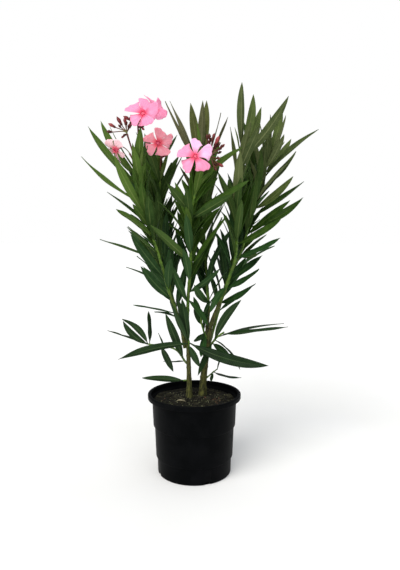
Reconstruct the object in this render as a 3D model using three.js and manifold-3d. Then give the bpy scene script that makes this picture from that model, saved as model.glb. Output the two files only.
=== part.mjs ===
import * as THREE from 'three';
import { mergeVertices } from 'three/addons/utils/BufferGeometryUtils.js';
import Module from 'manifold-3d';

// A flowering oleander in a round plastic nursery pot.
// Lengths are millimetres and angles are degrees, with +Z up.
// The origin is the centre of the pot's flat underside, and -Y is the plant's front.
// Bearings are compass angles in plan, counted from +X towards +Y.

// Pot
const POT_HEIGHT = 163.5;
const RIM_RADIUS = 95;
const LIP_DEPTH = 9;
const LIP_WIDTH = 6.5;
const SHELL = 1.7;
const WALL_TOP_RADIUS = 86;
const UPPER_STEP_Z = 98;
const LOWER_STEP_Z = 34;
const STEP = 2.8;
const BASE_RADIUS = 75;
const LOWER_WALL_RADIUS = 76;
const UPPER_WALL_RADIUS = 81.2;
const FOOT_CHAMFER = 4;
const POT_SEGMENTS = 40;
const NOTCHES = 4;
const NOTCH_WIDTH = 14;
const NOTCH_HEIGHT = 6;
const NOTCH_DEPTH = 9;
const NOTCH_BEARING = -69;

// Soil
const SOIL_TOP = 150;
const SOIL_SEGMENTS = 32;

// Clearance between neighbouring solids
const GAP = 0.3;

// Stems
const FLARE_FADE = 9;
const FLARE_CROWDING = 1.6;
const STATIONS = 12;
const SHOOT_STEP = 26;

// Leaves
const LEAF_WIDTH = 9.5;
const WIDTH_PER_LENGTH = 0.075;
const LEAF_THICKNESS_RATIO = 0.013;
const PETIOLE = 2.2;
const NECK = 0.05;
const LEAF_STATIONS = [[0.3, 0.84], [0.68, 0.86]];
const WHORL = 3;
const WHORL_SPACING = 28;
const LOOSE_BEARING = 16;
const LOOSE_SPREAD = 9;
const LOOSE_LENGTH = 0.14;
const LOOSE_ROLL = 38;
const CURL = 4;
const LOOSE_CURL = 8;
const SHARED_SPACING = 0.6;
const SHARED_BEARING = 45;
const LEAF_MARGIN = 0.5;
const ROOT_CROWD = 16;
const RETRIES = [
  { turn: 0, steeper: 0, shorter: 1 },
  { turn: 20, steeper: 0, shorter: 0.95 },
  { turn: -20, steeper: 4, shorter: 0.95 },
  { turn: 0, steeper: 12, shorter: 0.75 },
];

// Flowers
const PETALS = 5;
const PETAL_STATIONS = [[0.42, 0.6], [0.78, 0.95]];
const PETAL_WIDTH_RATIO = 0.4;
const PETAL_THICKNESS = 1;
const PETAL_TWIST = 16;
const PETAL_SEAT = 2.4;
const PETAL_SINK = 3;
const PETAL_BEND = 0.22;
const PETAL_RISE = 4;
const THROAT_LENGTH = 17;
const THROAT_RADIUS = 4.5;
const STALK_RADIUS = 1.5;
const PEDICEL_RADIUS = 0.9;
const CALYX_RADIUS = 1.6;
const BUD_RADIUS = 2.6;
const BUD_MIDDLE = 0.45;
const KNOB_RADIUS = 2.4;

const RADIANS = Math.PI / 180;
const UP = new THREE.Vector3(0, 0, 1);
const EAST = new THREE.Vector3(1, 0, 0);

// Stems and boughs: where each starts, the bends of its route, its radii and its root flare.
// One with no parent stands on the soil; the others go on from a parent's tip or leave its side.
const LIMBS = {
  trunk_left: {
    route: [[-11, 12, 150.3], [-11, 11, 186], [-12, 9, 235], [-14, 8, 272]], radii: [5.6, 3.7], flare: 2.6,
  },
  trunk_right: {
    route: [[17, 33, 150.3], [19, 32, 185], [26, 30, 245], [32, 30, 290]], radii: [7.4, 5.6], flare: 2.4,
  },
  bough_centre: { on: 'trunk_left', route: [[-15, 7, 292], [-14, 6, 315]], radii: [3.6, 3.4] },
  bough_left: { on: 'trunk_left', at: 0.9, route: [[-27, 3, 299], [-39, -4, 333]], radii: [3.5, 3.2] },
  bough_right: { on: 'trunk_right', route: [[40, 27, 316], [54, 22, 348]], radii: [4.4, 3.6] },
  bough_back: { on: 'trunk_right', at: 0.9, route: [[29, 42, 318], [30, 43, 330]], radii: [3.6, 3.3] },
};

// Leafy shoots: what each grows on, its route, radii, the turn of its first whorl,
// its leaves' lengths and spreads from foot to tip, the share of it that is bare of whorls,
// and the side left open near its tip: from where along it, the bearing and how far round.
// Then come the leaves that stand out of it: seat along the stem, bearing, lift above level, length, sag
// and roll.
const SHOOTS = {
  left_shoot: {
    on: 'bough_left',
    route: [[-52, -10, 378], [-69, -20, 444], [-94, -33, 527], [-105, -38, 604]],
    radii: [3.2, 2], turn: 10, lengths: [108, 88], spreads: [42, 20],
    bare: 0.15, openSide: [0.6, -170, 50], seed: 11,
    standing: [
      [0.79, -172, 37, 143, 9, 18], [0.89, -154, 47, 146, 6, 20], [0.96, 167, 55, 135, 10, 60],
      [0.98, 138, 50, 133, 4, 40], [0.71, -145, 59, 126, 5, 60], [0.64, 155, 35, 116, -1, 0],
      [0.55, -131, 29, 104, -3, 10], [0.43, -120, 27, 109, 1, -10], [0.38, 178, 19, 126, 0, 12],
      [0.24, -144, 49, 117, 2, 60], [0.09, -126, 38, 113, 3, 70],
    ],
  },
  inner_left_shoot: {
    on: 'bough_left', at: 0.55,
    route: [[-46, 22, 362], [-61, 37, 429], [-70, 45, 516], [-70, 36, 613]],
    radii: [3, 2], turn: 40, lengths: [108, 110], spreads: [38, 16], bare: 0.06, seed: 23,
    standing: [
      [0.93, -125, 63, 104, 0, 20], [0.91, -28, 68, 108, -8, 40],
      [0.82, -57, 42, 116, 0, 25], [0.08, -171, 12, 91, 0, 0], [0.05, 166, 11, 53, -2, 0],
      [0.11, -25, 76, 95, 2, -40],
    ],
  },
  centre_shoot: {
    on: 'bough_centre',
    route: [[-12, 1, 364], [-7, -12, 432], [-5, -32, 529], [13, -42, 596]],
    radii: [3.4, 2.2], turn: 20, lengths: [110, 100], spreads: [40, 28], bare: 0.1, seed: 37,
    standing: [
      [0.73, -20, 29, 132, 0, 60], [0.71, -47, 20, 117, 0, -50], [0.75, -126, 35, 88, 0, 30],
      [0.41, -147, 39, 114, 0, 50], [0.38, -41, 47, 133, 0, 60],
      [0.11, -139, 62, 97, 2, 26], [0.14, -41, -42, 72, -4, 22], [0.19, -33, 35, 90, 4, -44],
    ],
  },
  top_shoot: {
    on: 'bough_back',
    route: [[26, 49, 391], [21, 54, 475], [16, 52, 558], [13, 44, 627]],
    radii: [3.3, 1.9], turn: 0, lengths: [110, 116], spreads: [38, 16], bare: 0, seed: 41,
    standing: [
      [0.96, -168, 62, 156, 4, 8], [0.96, 152, 64, 168, 0, 50], [0.99, 145, 79, 135, 0, -55],
      [0.99, -81, 79, 130, 0, 20], [0.97, -19, 85, 140, 2, 80], [0.94, 39, 68, 143, 4, -28],
      [0.92, -42, 58, 132, 4, 28], [0.04, -109, 28, 100, 6, 20],
      [0.15, -66, 66, 79, 0, 0],
    ],
  },
  right_shoot: {
    on: 'bough_right',
    route: [[72, 9, 402], [84, -6, 455], [82, -18, 561], [93, -16, 649]],
    radii: [3.6, 1.9], turn: 50, lengths: [110, 120], spreads: [40, 16],
    bare: 0, openSide: [0.6, 180, 97], seed: 53,
    standing: [
      [0.99, -102, 88, 129, 14, 56], [0.99, 34, 76, 116, 6, 70], [0.97, 47, 58, 120, 6, 60],
      [0.94, -27, 49, 144, 8, -50], [0.86, -61, 48, 106, 0, -20], [0.78, -118, 73, 110, -4, -42],
      [0.41, -33, 27, 107, 4, 60], [0.32, -45, 20, 116, 4, 50], [0.15, -24, 37, 90, 1, 60],
      [0.1, -28, 30, 84, 4, 60],
      [0.12, -135, -46, 71, -4, -28],
    ],
  },
  outer_right_shoot: {
    on: 'bough_right', at: 0.8,
    route: [[78, 40, 408], [102, 50, 462], [129, 62, 559], [155, 56, 645]],
    radii: [3.2, 1.9], turn: 15, lengths: [108, 110], spreads: [38, 18],
    bare: 0.15, openSide: [0.7, -42, 25], seed: 67,
    standing: [
      [0.99, 26, 74, 116, 4, 70], [0.98, -51, 61, 96, 4, 10], [0.93, -72, 34, 99, 4, 10],
      [0.89, 33, 47, 111, 4, 25], [0.85, -5, 42, 155, -8, 30], [0.78, 24, 44, 129, 6, 20],
      [0.66, -35, 35, 110, 6, 75], [0.61, 5, 34, 135, 4, 30], [0.54, -9, 29, 128, 10, 55],
      [0.49, -34, 35, 120, 0, 80], [0.34, -71, 6, 94, 0, -40], [0.02, -32, 26, 83, 4, 60],
    ],
  },
  back_left_shoot: {
    on: 'trunk_left', at: 0.97,
    route: [[-58, 76, 382], [-84, 97, 507], [-91, 92, 608]],
    radii: [3, 1.8], turn: 30, lengths: [112, 108], spreads: [40, 20], bare: 0.25, seed: 71,
    standing: [],
  },
  back_right_shoot: {
    on: 'trunk_right', at: 0.75,
    route: [[73, 92, 398], [104, 106, 529], [121, 94, 638]],
    radii: [3.2, 1.8], turn: 0, lengths: [112, 110], spreads: [40, 18], bare: 0.15, seed: 83,
    standing: [],
  },
  low_left_shoot: {
    on: 'trunk_left', at: 0.6,
    route: [[-42, 20, 250], [-99, 36, 257]],
    radii: [2.2, 1.5], turn: 0, lengths: [60, 60], spreads: [50, 40], bare: 1, seed: 97,
    standing: [
      [0.08, -132, 63, 114, 0, 55], [0.05, 158, -6, 50, 2, 0], [0.99, -163, 46, 77, -8, 70],
      [0.99, 165, 15, 95, 0, 10], [0.97, -165, 44, 74, 8, 75], [0.94, 104, 77, 70, 0, 50],
      [0.63, -118, 58, 37, 0, -35], [0.7, -46, -50, 63, 0, 40],
    ],
  },
  low_front_shoot: {
    on: 'trunk_left', at: 0.88,
    route: [[-10, -14, 273]],
    radii: [2, 1.6], turn: 0, lengths: [60, 60], spreads: [50, 50], bare: 1, seed: 101,
    standing: [
      [0.6, -159, -8, 146, -6, 70], [0.75, -15, -13, 165, 10, 60], [0.35, -50, -48, 52, 0, 60],
      [0.5, -160, 76, 100, 0, 50], [0.8, -150, 80, 92, 0, 40],
      [0.68, -145, 64, 101, 2, 13],
    ],
  },
  low_right_shoot: {
    on: 'trunk_right', at: 0.77,
    route: [[47, 18, 275], [61, 10, 287]],
    radii: [2.2, 1.5], turn: 0, lengths: [60, 60], spreads: [50, 40], bare: 1, seed: 103,
    standing: [
      [0.83, -10, 8, 136, 2, 18], [0.57, 16, 8, 151, -4, 0], [0.29, -57, 46, 132, -8, -25],
      [0.12, -50, -22, 62, -2, 60], [0.36, 39, -46, 104, -8, 20], [0.12, -123, -46, 79, 0, -10],
    ],
  },
  middle_shoot: {
    on: 'trunk_right', at: 0.87,
    route: [[16, 12, 299], [13, 4, 321]],
    radii: [2, 1.4], turn: 60, lengths: [60, 60], spreads: [45, 30], bare: 0, seed: 107,
    standing: [
      [0.27, -128, -21, 37, 4, -20], [0.2, -100, -40, 60, 4, 0],
    ],
  },
  foot_shoot: {
    on: 'trunk_right', at: 0.27,
    route: [[39, 22, 200], [47, 16, 208]],
    radii: [1.6, 1.2], turn: 0, lengths: [40, 40], spreads: [45, 40], bare: 1, seed: 109,
    standing: [[0.66, -43, 1, 73, 4, 0], [0.5, -96, -30, 24, 0, 40], [0.97, -37, 69, 29, 0, 40]],
  },
  foot_left_shoot: {
    on: 'trunk_left', at: 0.3,
    route: [[-23, 5, 187]],
    radii: [1.6, 1.2], turn: 0, lengths: [40, 40], spreads: [45, 40], bare: 1, seed: 113,
    standing: [[0.6, -178, 4, 88, -1, 80]],
  },
};

// Flower heads: the shoot that carries each, its stalk, and what opens on it.
// A stalk is its seat along the shoot, bearing, lift and length. A flower is bearing, lift and distance from
// the stalk's tip, the bearing and lift that it faces, and its width.
// A bud is bearing, lift, distance and length.
const HEADS = [
  {
    shoot: 'left_shoot', stalk: [0.955, -149, 73, 85],
    flowers: [],
    buds: [[180, 29, 40, 15], [-156, 57, 36, 18], [132, 76, 33, 15], [-40, 57, 29, 17], [161, -28, 14, 7]],
  },
  {
    shoot: 'left_shoot', stalk: [0.985, -160, 65, 42],
    flowers: [[-143, 6, 30, -125, -30, 46]],
    buds: [],
  },
  {
    shoot: 'left_shoot', stalk: [0.97, -91, 83, 96],
    flowers: [[-63, 32, 29, -95, 20, 56], [0, 43, 43, -48, 28, 50]],
    buds: [[-9, -43, 17, 9], [180, 50, 11, 8], [-148, 20, 32, 16]],
  },
  {
    shoot: 'inner_left_shoot', stalk: [0.97, -81, 51, 44],
    flowers: [[-98, 41, 37, -86, 4, 54]],
    buds: [[-22, 30, 16, 14], [-78, -4, 14, 12]],
  },
  {
    shoot: 'centre_shoot', stalk: [0.97, -51, 55, 47],
    flowers: [[-144, 3, 31, -98, 8, 62]],
    buds: [[-22, 62, 45, 19], [42, 73, 50, 13], [4, 41, 40, 12], [-39, -28, 39, 14], [85, 47, 32, 10]],
  },
];

const wasm = await Module();
wasm.setup();

// A repeatable row of numbers between 0 and 1.
function numbersFrom(seed) {
  let state = seed;
  return () => {
    state = (state + 0x6d2b79f5) | 0;
    let mixed = Math.imul(state ^ (state >>> 15), 1 | state);
    mixed = (mixed + Math.imul(mixed ^ (mixed >>> 7), 61 | mixed)) ^ mixed;
    return ((mixed ^ (mixed >>> 14)) >>> 0) / 4294967296;
  };
}

function towards(bearing, lift) {
  const flat = Math.cos(lift * RADIANS);
  return new THREE.Vector3(
    flat * Math.cos(bearing * RADIANS),
    flat * Math.sin(bearing * RADIANS),
    Math.sin(lift * RADIANS),
  );
}

// A body lofted through rings of points that run anticlockwise about its axis,
// each end closed flat or drawn to a point.
function loft(rings, tip, heel) {
  const sides = rings[0].length;
  const points = rings.flat();
  const last = points.length - sides;
  const faces = [];
  if (heel) {
    points.push(heel);
    for (let k = 0; k < sides; k++) faces.push([(k + 1) % sides, k, points.length - 1]);
  } else {
    for (let k = 1; k < sides - 1; k++) faces.push([0, k + 1, k]);
  }
  for (let start = 0; start < last; start += sides) {
    for (let k = 0; k < sides; k++) {
      const next = start + ((k + 1) % sides);
      faces.push([start + k, next, next + sides]);
      faces.push([start + k, next + sides, start + k + sides]);
    }
  }
  if (tip) {
    points.push(tip);
    for (let k = 0; k < sides; k++) faces.push([last + k, last + ((k + 1) % sides), points.length - 1]);
  } else {
    for (let k = 1; k < sides - 1; k++) faces.push([last, last + k, last + k + 1]);
  }
  return { points, faces };
}

function solidOf({ points, faces }) {
  const vertProperties = new Float32Array(points.flatMap((p) => p.toArray()));
  const triVerts = new Uint32Array(faces.flat());
  return new wasm.Manifold(new wasm.Mesh({ numProp: 3, vertProperties, triVerts }));
}

function solidOfGeometry(geometry) {
  geometry.deleteAttribute('normal');
  geometry.deleteAttribute('uv');
  const merged = mergeVertices(geometry);
  return new wasm.Manifold(new wasm.Mesh({
    numProp: 3,
    vertProperties: merged.attributes.position.array,
    triVerts: new Uint32Array(merged.index.array),
  }));
}

// The largest body of a fused solid: a sealed hollow is filled and a loose scrap is dropped.
function geometryOf(solid) {
  const bodies = solid.decompose();
  bodies.sort((a, b) => b.volume() - a.volume());
  const mesh = bodies[0].getMesh();
  const geometry = new THREE.BufferGeometry();
  geometry.setAttribute('position', new THREE.BufferAttribute(mesh.vertProperties, mesh.numProp));
  geometry.setIndex(new THREE.BufferAttribute(mesh.triVerts, 1));
  return geometry;
}

function fuse(bodies) {
  return bodies.map(solidOf).reduce((whole, body) => whole.add(body));
}

// A ring of points about a direction, its first point turned towards a side.
function ring(centre, direction, radius, sides, side) {
  const across = side.clone().addScaledVector(direction, -side.dot(direction)).normalize();
  const over = direction.clone().cross(across);
  return Array.from({ length: sides }, (_, k) => {
    const angle = (2 * Math.PI * k) / sides;
    return centre.clone()
      .addScaledVector(across, radius * Math.cos(angle))
      .addScaledVector(over, radius * Math.sin(angle));
  });
}

// A stem or bough: its curve, its radius along it, the side its first edge faces,
// and the way its foot faces where that isn't along the curve.
class Limb {
  constructor(points, radii, flare, side, footAxis) {
    this.curve = new THREE.CatmullRomCurve3(points, false, 'catmullrom', 0.5);
    this.length = this.curve.getLength();
    this.radii = radii;
    this.flare = flare;
    this.side = side;
    this.footAxis = footAxis;
    this.stations = Array.from({ length: STATIONS + 1 }, (_, k) => this.point(k / STATIONS));
  }

  point(along) {
    return this.curve.getPointAt(along);
  }

  direction(along) {
    if (this.footAxis && along === 0) return this.footAxis.clone();
    return this.curve.getTangentAt(along);
  }

  radius(along) {
    const [foot, tip] = this.radii;
    return foot + (tip - foot) * along + this.flare * Math.exp((-along * this.length) / FLARE_FADE);
  }

  body(steps, sides) {
    const crowding = this.flare ? FLARE_CROWDING : 1;
    const marks = Array.from({ length: steps + 1 }, (_, k) => (k / steps) ** crowding);
    return loft(marks.map((s) => ring(this.point(s), this.direction(s), this.radius(s), sides, this.side)));
  }
}

function vectors(rows) {
  return rows.map((row) => new THREE.Vector3(...row));
}

// A limb that goes on from its parent's tip, or leaves the parent's side, just clear of it.
function limbOn(limbs, { on, at, route, radii, flare = 0 }) {
  const points = vectors(route);
  if (!on) return new Limb(points, radii, flare, EAST, UP);
  const parent = limbs[on];
  const seat = parent.point(at ?? 1);
  const axis = parent.direction(at ?? 1);
  if (at === undefined) {
    return new Limb([seat.addScaledVector(axis, GAP), ...points], radii, flare, parent.side, axis);
  }
  const away = points[0].clone().sub(seat);
  const heading = away.clone().normalize();
  away.addScaledVector(axis, -away.dot(axis)).normalize();
  const halfWidth = radii[0] * Math.sqrt(1 - heading.dot(away) ** 2);
  seat.addScaledVector(away, parent.radius(at) + GAP + halfWidth);
  return new Limb([seat, ...points], radii, flare, away.clone().negate());
}

// A thin blade along a bent line: flat above, with a keel below, pointed at its tip.
function blade({ root, bend, tip, side }, width, thickness, stations, neckWidth, margin = 0) {
  const line = new THREE.QuadraticBezierCurve3(root, bend, tip);
  const rings = [[NECK, neckWidth / width], ...stations].map(([along, share]) => {
    const centre = line.getPoint(along);
    const above = line.getTangent(along).cross(side).normalize();
    const half = (width * share) / 2 + margin;
    return [
      centre.clone().addScaledVector(side, -half).addScaledVector(above, margin),
      centre.clone().addScaledVector(above, -thickness - margin),
      centre.clone().addScaledVector(side, half).addScaledVector(above, margin),
    ];
  });
  return loft(rings, tip.clone().addScaledVector(line.getTangent(1), 2 * margin), root);
}

function leafBlade(leaf, margin = 0) {
  const width = LEAF_WIDTH + leaf.length * WIDTH_PER_LENGTH;
  return blade(leaf, width, leaf.length * LEAF_THICKNESS_RATIO, LEAF_STATIONS, PETIOLE, margin);
}

// A side direction turned about a leaf's own line.
function rolled(side, heading, roll) {
  return side.clone().applyAxisAngle(heading, roll * RADIANS).normalize();
}

// A leaf that stands out of its shoot, from its bearing, lift and length.
function standingLeaf(shoot, [along, bearing, lift, length, sag, roll]) {
  const root = shoot.point(along);
  const heading = towards(bearing, lift);
  const level = towards(bearing + 90, 0);
  const above = heading.clone().cross(level);
  const tip = root.clone().addScaledVector(heading, length);
  const bend = root.clone().lerp(tip, 0.5).addScaledVector(above, -2 * sag);
  return { root, bend, tip, length, along, bearing, side: rolled(level, heading, roll) };
}

// A leaf of a whorl, spreading from the stem by an angle that grows along the leaf.
function whorlLeaf(shoot, along, bearing, spread, curl, length, roll) {
  const root = shoot.point(along);
  const stem = shoot.direction(along);
  const east = EAST.clone().addScaledVector(stem, -EAST.dot(stem)).normalize();
  const out = east.clone().applyAxisAngle(stem, bearing * RADIANS);
  const leaning = (angle) => stem.clone().multiplyScalar(Math.cos(angle * RADIANS))
    .addScaledVector(out, Math.sin(angle * RADIANS));
  const bend = root.clone().addScaledVector(leaning(spread - curl), length / 2);
  const tip = bend.clone().addScaledVector(leaning(spread + curl), length / 2);
  const side = stem.clone().cross(out);
  return { root, bend, tip, length, along, bearing, side: rolled(side, leaning(spread), roll) };
}

// Whether one of a body's edges passes through a face of another.
function edgesPierce(body, other) {
  const edge = new THREE.Line3();
  const ray = new THREE.Ray();
  const hit = new THREE.Vector3();
  for (const [a, b, c] of body.faces) {
    for (const [from, to] of [[a, b], [b, c], [c, a]]) {
      if (from > to) continue;
      edge.set(body.points[from], body.points[to]);
      ray.origin.copy(edge.start);
      edge.delta(ray.direction).normalize();
      for (const [d, e, f] of other.faces) {
        const met = ray.intersectTriangle(other.points[d], other.points[e], other.points[f], false, hit);
        if (met && hit.distanceTo(edge.start) <= edge.distance()) return true;
      }
    }
  }
  return false;
}

function bodiesMeet(body, other) {
  if (!body.box.intersectsBox(other.box)) return false;
  return edgesPierce(body, other) || edgesPierce(other, body);
}

function boxed(body) {
  body.box = new THREE.Box3().setFromPoints(body.points);
  return body;
}

// The shortest way between two straight pieces, from three.js's own line tests.
function pieceDistance(a, b, c, d) {
  const line = new THREE.Line3(a, b);
  const other = new THREE.Line3(c, d);
  return Math.sqrt(line.distanceSqToLine3(other));
}

// Whether a leaf passes a limb closer than the margin.
function meetsLimb(body, limb) {
  const { stations } = limb;
  for (let k = 1; k < stations.length; k++) {
    const reach = limb.radius((k - 1) / STATIONS) + LEAF_MARGIN;
    for (const [a, b, c] of body.faces) {
      for (const [from, to] of [[a, b], [b, c], [c, a]]) {
        if (from > to) continue;
        const gap = pieceDistance(body.points[from], body.points[to], stations[k - 1], stations[k]);
        if (gap < reach) return true;
      }
    }
  }
  return false;
}

// What already stands: limbs and bodies that a new leaf keeps clear of.
const limbs = {};
for (const [name, limb] of Object.entries(LIMBS)) limbs[name] = limbOn(limbs, limb);
const shoots = {};
for (const [name, shoot] of Object.entries(SHOOTS)) shoots[name] = limbOn(limbs, shoot);
const masses = Object.fromEntries(Object.keys(SHOOTS).map((name) => [name, []]));
const placed = [];

// The seat is how far up its shoot's stem a body is rooted; only stalks and leaves have one.
function place(name, body, seat = Infinity) {
  masses[name].push(body);
  placed.push({ name, seat, ...boxed(body) });
}

function isClear(name, seat, body) {
  boxed(body);
  const inPot = body.points.some((p) => p.z < POT_HEIGHT + 1 && Math.hypot(p.x, p.y) < RIM_RADIUS + 1);
  if (inPot) return false;
  const others = { ...limbs, ...shoots };
  delete others[name];
  if (Object.values(others).some((limb) => meetsLimb(body, limb))) return false;
  return !placed.some((other) => {
    const neighbour = other.name === name && Math.abs(other.seat - seat) < ROOT_CROWD;
    return !neighbour && bodiesMeet(body, other);
  });
}

// Flowers and buds
function sideOf(direction) {
  return Math.abs(direction.z) < 0.9 ? UP : EAST;
}

// A thin stalk that comes to a point inside what carries it.
function stalkBody(from, to, radius) {
  const direction = to.clone().sub(from).normalize();
  const side = sideOf(direction);
  const neck = from.clone().addScaledVector(direction, 2 * radius);
  const rings = [neck, to].map((centre) => ring(centre, direction, radius, 3, side));
  return loft(rings, undefined, from);
}

// The knob at the top of a stalk, where the flowers' own stalks part.
function knob(centre, direction) {
  const ends = [-KNOB_RADIUS, KNOB_RADIUS].map((shift) => centre.clone().addScaledVector(direction, shift));
  return loft(ends.map((end) => ring(end, direction, KNOB_RADIUS, 5, sideOf(direction))));
}

function bud(base, direction, length) {
  const side = sideOf(direction);
  const middle = base.clone().addScaledVector(direction, length * BUD_MIDDLE);
  return loft(
    [ring(base, direction, CALYX_RADIUS, 4, side), ring(middle, direction, BUD_RADIUS, 4, side)],
    base.clone().addScaledVector(direction, length),
  );
}

// An open flower: a funnel, and petals that each twist the same way.
function flower(mouth, facing, width) {
  const side = sideOf(facing);
  const base = mouth.clone().addScaledVector(facing, -THROAT_LENGTH);
  const between = side.clone().applyAxisAngle(facing, Math.PI / PETALS);
  const bodies = [loft([
    ring(base, facing, CALYX_RADIUS, PETALS, between),
    ring(mouth, facing, THROAT_RADIUS, PETALS, between),
  ])];
  const rays = ring(new THREE.Vector3(), facing, 1, PETALS, side);
  for (const ray of rays) {
    const root = mouth.clone().addScaledVector(facing, -PETAL_SINK).addScaledVector(ray, PETAL_SEAT);
    const bend = mouth.clone().addScaledVector(ray, width * PETAL_BEND).addScaledVector(facing, PETAL_RISE);
    const tip = mouth.clone().addScaledVector(ray, width / 2);
    const petal = { root, bend, tip, side: rolled(facing.clone().cross(ray), ray, PETAL_TWIST) };
    bodies.push(blade(petal, width * PETAL_WIDTH_RATIO, PETAL_THICKNESS, PETAL_STATIONS, PETIOLE));
  }
  return bodies;
}

for (const { shoot, stalk: [seat, bearing, lift, reach], flowers, buds } of HEADS) {
  const way = towards(bearing, lift);
  const foot = shoots[shoot].point(seat);
  const head = foot.clone().addScaledVector(way, reach);
  place(shoot, stalkBody(foot, head, STALK_RADIUS), seat * shoots[shoot].length);
  place(shoot, knob(head, way));
  for (const [around, above, distance, facesTo, facesUp, width] of flowers) {
    const facing = towards(facesTo, facesUp);
    const mouth = head.clone().addScaledVector(towards(around, above), distance);
    const base = mouth.clone().addScaledVector(facing, -THROAT_LENGTH + 1);
    place(shoot, stalkBody(head, base, PEDICEL_RADIUS));
    for (const body of flower(mouth, facing, width)) place(shoot, body);
  }
  for (const [around, above, distance, length] of buds) {
    const direction = towards(around, above);
    const base = head.clone().addScaledVector(direction, distance - length);
    place(shoot, stalkBody(head, base.clone().addScaledVector(direction, 1), PEDICEL_RADIUS));
    place(shoot, bud(base, direction, length));
  }
}

// Leaves that stand out of their shoots come first, then the whorls fill in.
for (const [name, { standing }] of Object.entries(SHOOTS)) {
  for (const row of standing) {
    const leaf = standingLeaf(shoots[name], row);
    const seat = row[0] * shoots[name].length;
    if (isClear(name, seat, leafBlade(leaf, LEAF_MARGIN))) place(name, leafBlade(leaf), seat);
  }
}

function takesPlace(standing, along, bearing, length) {
  return standing.some(([seat, way]) => {
    const apart = Math.abs(((bearing - way + 540) % 360) - 180);
    return Math.abs(seat - along) * length < WHORL_SPACING * SHARED_SPACING && apart < SHARED_BEARING;
  });
}

// A shoot has no leaf near its foot, nor on a side that is left open.
function staysBare(height, bearing, bare, openSide) {
  if (!openSide || height < bare) return height < bare;
  const [start, middle, reach] = openSide;
  return height > start && Math.abs(((bearing - middle + 540) % 360) - 180) < reach;
}

for (const [name, { turn, lengths, spreads, bare, openSide, seed, standing }] of Object.entries(SHOOTS)) {
  const shoot = shoots[name];
  const draw = numbersFrom(seed);
  const loose = (amount) => (2 * draw() - 1) * amount;
  const whorls = Math.round(shoot.length / WHORL_SPACING);
  for (let k = 0; k < whorls; k++) {
    const height = (k + 0.6) / whorls;
    for (let j = 0; j < WHORL; j++) {
      const along = Math.min(0.99, height + loose(2) / shoot.length);
      const bearing = turn + k * (180 / WHORL) + j * (360 / WHORL) + loose(LOOSE_BEARING);
      const spread = spreads[0] + (spreads[1] - spreads[0]) * height + loose(LOOSE_SPREAD);
      const curl = CURL + LOOSE_CURL * draw();
      const length = (lengths[0] + (lengths[1] - lengths[0]) * height) * (1 + loose(LOOSE_LENGTH));
      const roll = loose(LOOSE_ROLL);
      if (staysBare(height, bearing, bare, openSide)) continue;
      if (takesPlace(standing, along, bearing, shoot.length)) continue;
      for (const { turn: aside, steeper, shorter } of RETRIES) {
        const leaf = whorlLeaf(shoot, along, bearing + aside, spread - steeper, curl, length * shorter, roll);
        const seat = along * shoot.length;
        if (isClear(name, seat, leafBlade(leaf, LEAF_MARGIN))) {
          place(name, leafBlade(leaf), seat);
          break;
        }
      }
    }
  }
}

// Pot: the outside from the foot up, over the lip, and down the inside.
function potSolid() {
  const innerWall = WALL_TOP_RADIUS - SHELL;
  const lipInner = RIM_RADIUS - LIP_WIDTH;
  const outline = [
    [0, 0],
    [BASE_RADIUS - FOOT_CHAMFER, 0],
    [BASE_RADIUS, FOOT_CHAMFER],
    [LOWER_WALL_RADIUS, LOWER_STEP_Z],
    [LOWER_WALL_RADIUS + STEP, LOWER_STEP_Z + STEP],
    [UPPER_WALL_RADIUS, UPPER_STEP_Z],
    [UPPER_WALL_RADIUS + STEP, UPPER_STEP_Z + STEP],
    [WALL_TOP_RADIUS, POT_HEIGHT - LIP_DEPTH - 4],
    [lipInner + SHELL, POT_HEIGHT - LIP_DEPTH],
    [lipInner + SHELL, POT_HEIGHT - SHELL - 1],
    [RIM_RADIUS - SHELL, POT_HEIGHT - SHELL - 1],
    [RIM_RADIUS - SHELL, POT_HEIGHT - LIP_DEPTH],
    [RIM_RADIUS, POT_HEIGHT - LIP_DEPTH],
    [RIM_RADIUS, POT_HEIGHT - 2],
    [RIM_RADIUS - 2, POT_HEIGHT],
    [lipInner + 1.5, POT_HEIGHT],
    [lipInner, POT_HEIGHT - 2],
    [lipInner, POT_HEIGHT - LIP_DEPTH],
    [innerWall, POT_HEIGHT - LIP_DEPTH - 5],
    [UPPER_WALL_RADIUS + STEP - SHELL, UPPER_STEP_Z + STEP],
    [UPPER_WALL_RADIUS - SHELL, UPPER_STEP_Z],
    [LOWER_WALL_RADIUS + STEP - SHELL, LOWER_STEP_Z + STEP],
    [LOWER_WALL_RADIUS - SHELL, LOWER_STEP_Z],
    [BASE_RADIUS - SHELL, FOOT_CHAMFER + 1],
    [BASE_RADIUS - FOOT_CHAMFER - SHELL, SHELL],
    [0, SHELL],
  ].map(([r, z]) => new THREE.Vector2(r, z));
  const turned = new THREE.LatheGeometry(outline, POT_SEGMENTS).rotateX(Math.PI / 2);
  let solid = solidOfGeometry(turned);
  for (let k = 0; k < NOTCHES; k++) {
    const notch = new THREE.BoxGeometry(NOTCH_DEPTH, NOTCH_WIDTH, 2 * NOTCH_HEIGHT)
      .translate(LOWER_WALL_RADIUS, 0, 0)
      .rotateZ((NOTCH_BEARING + (k * 360) / NOTCHES) * RADIANS);
    solid = solid.subtract(solidOfGeometry(notch));
  }
  return solid;
}

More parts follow.
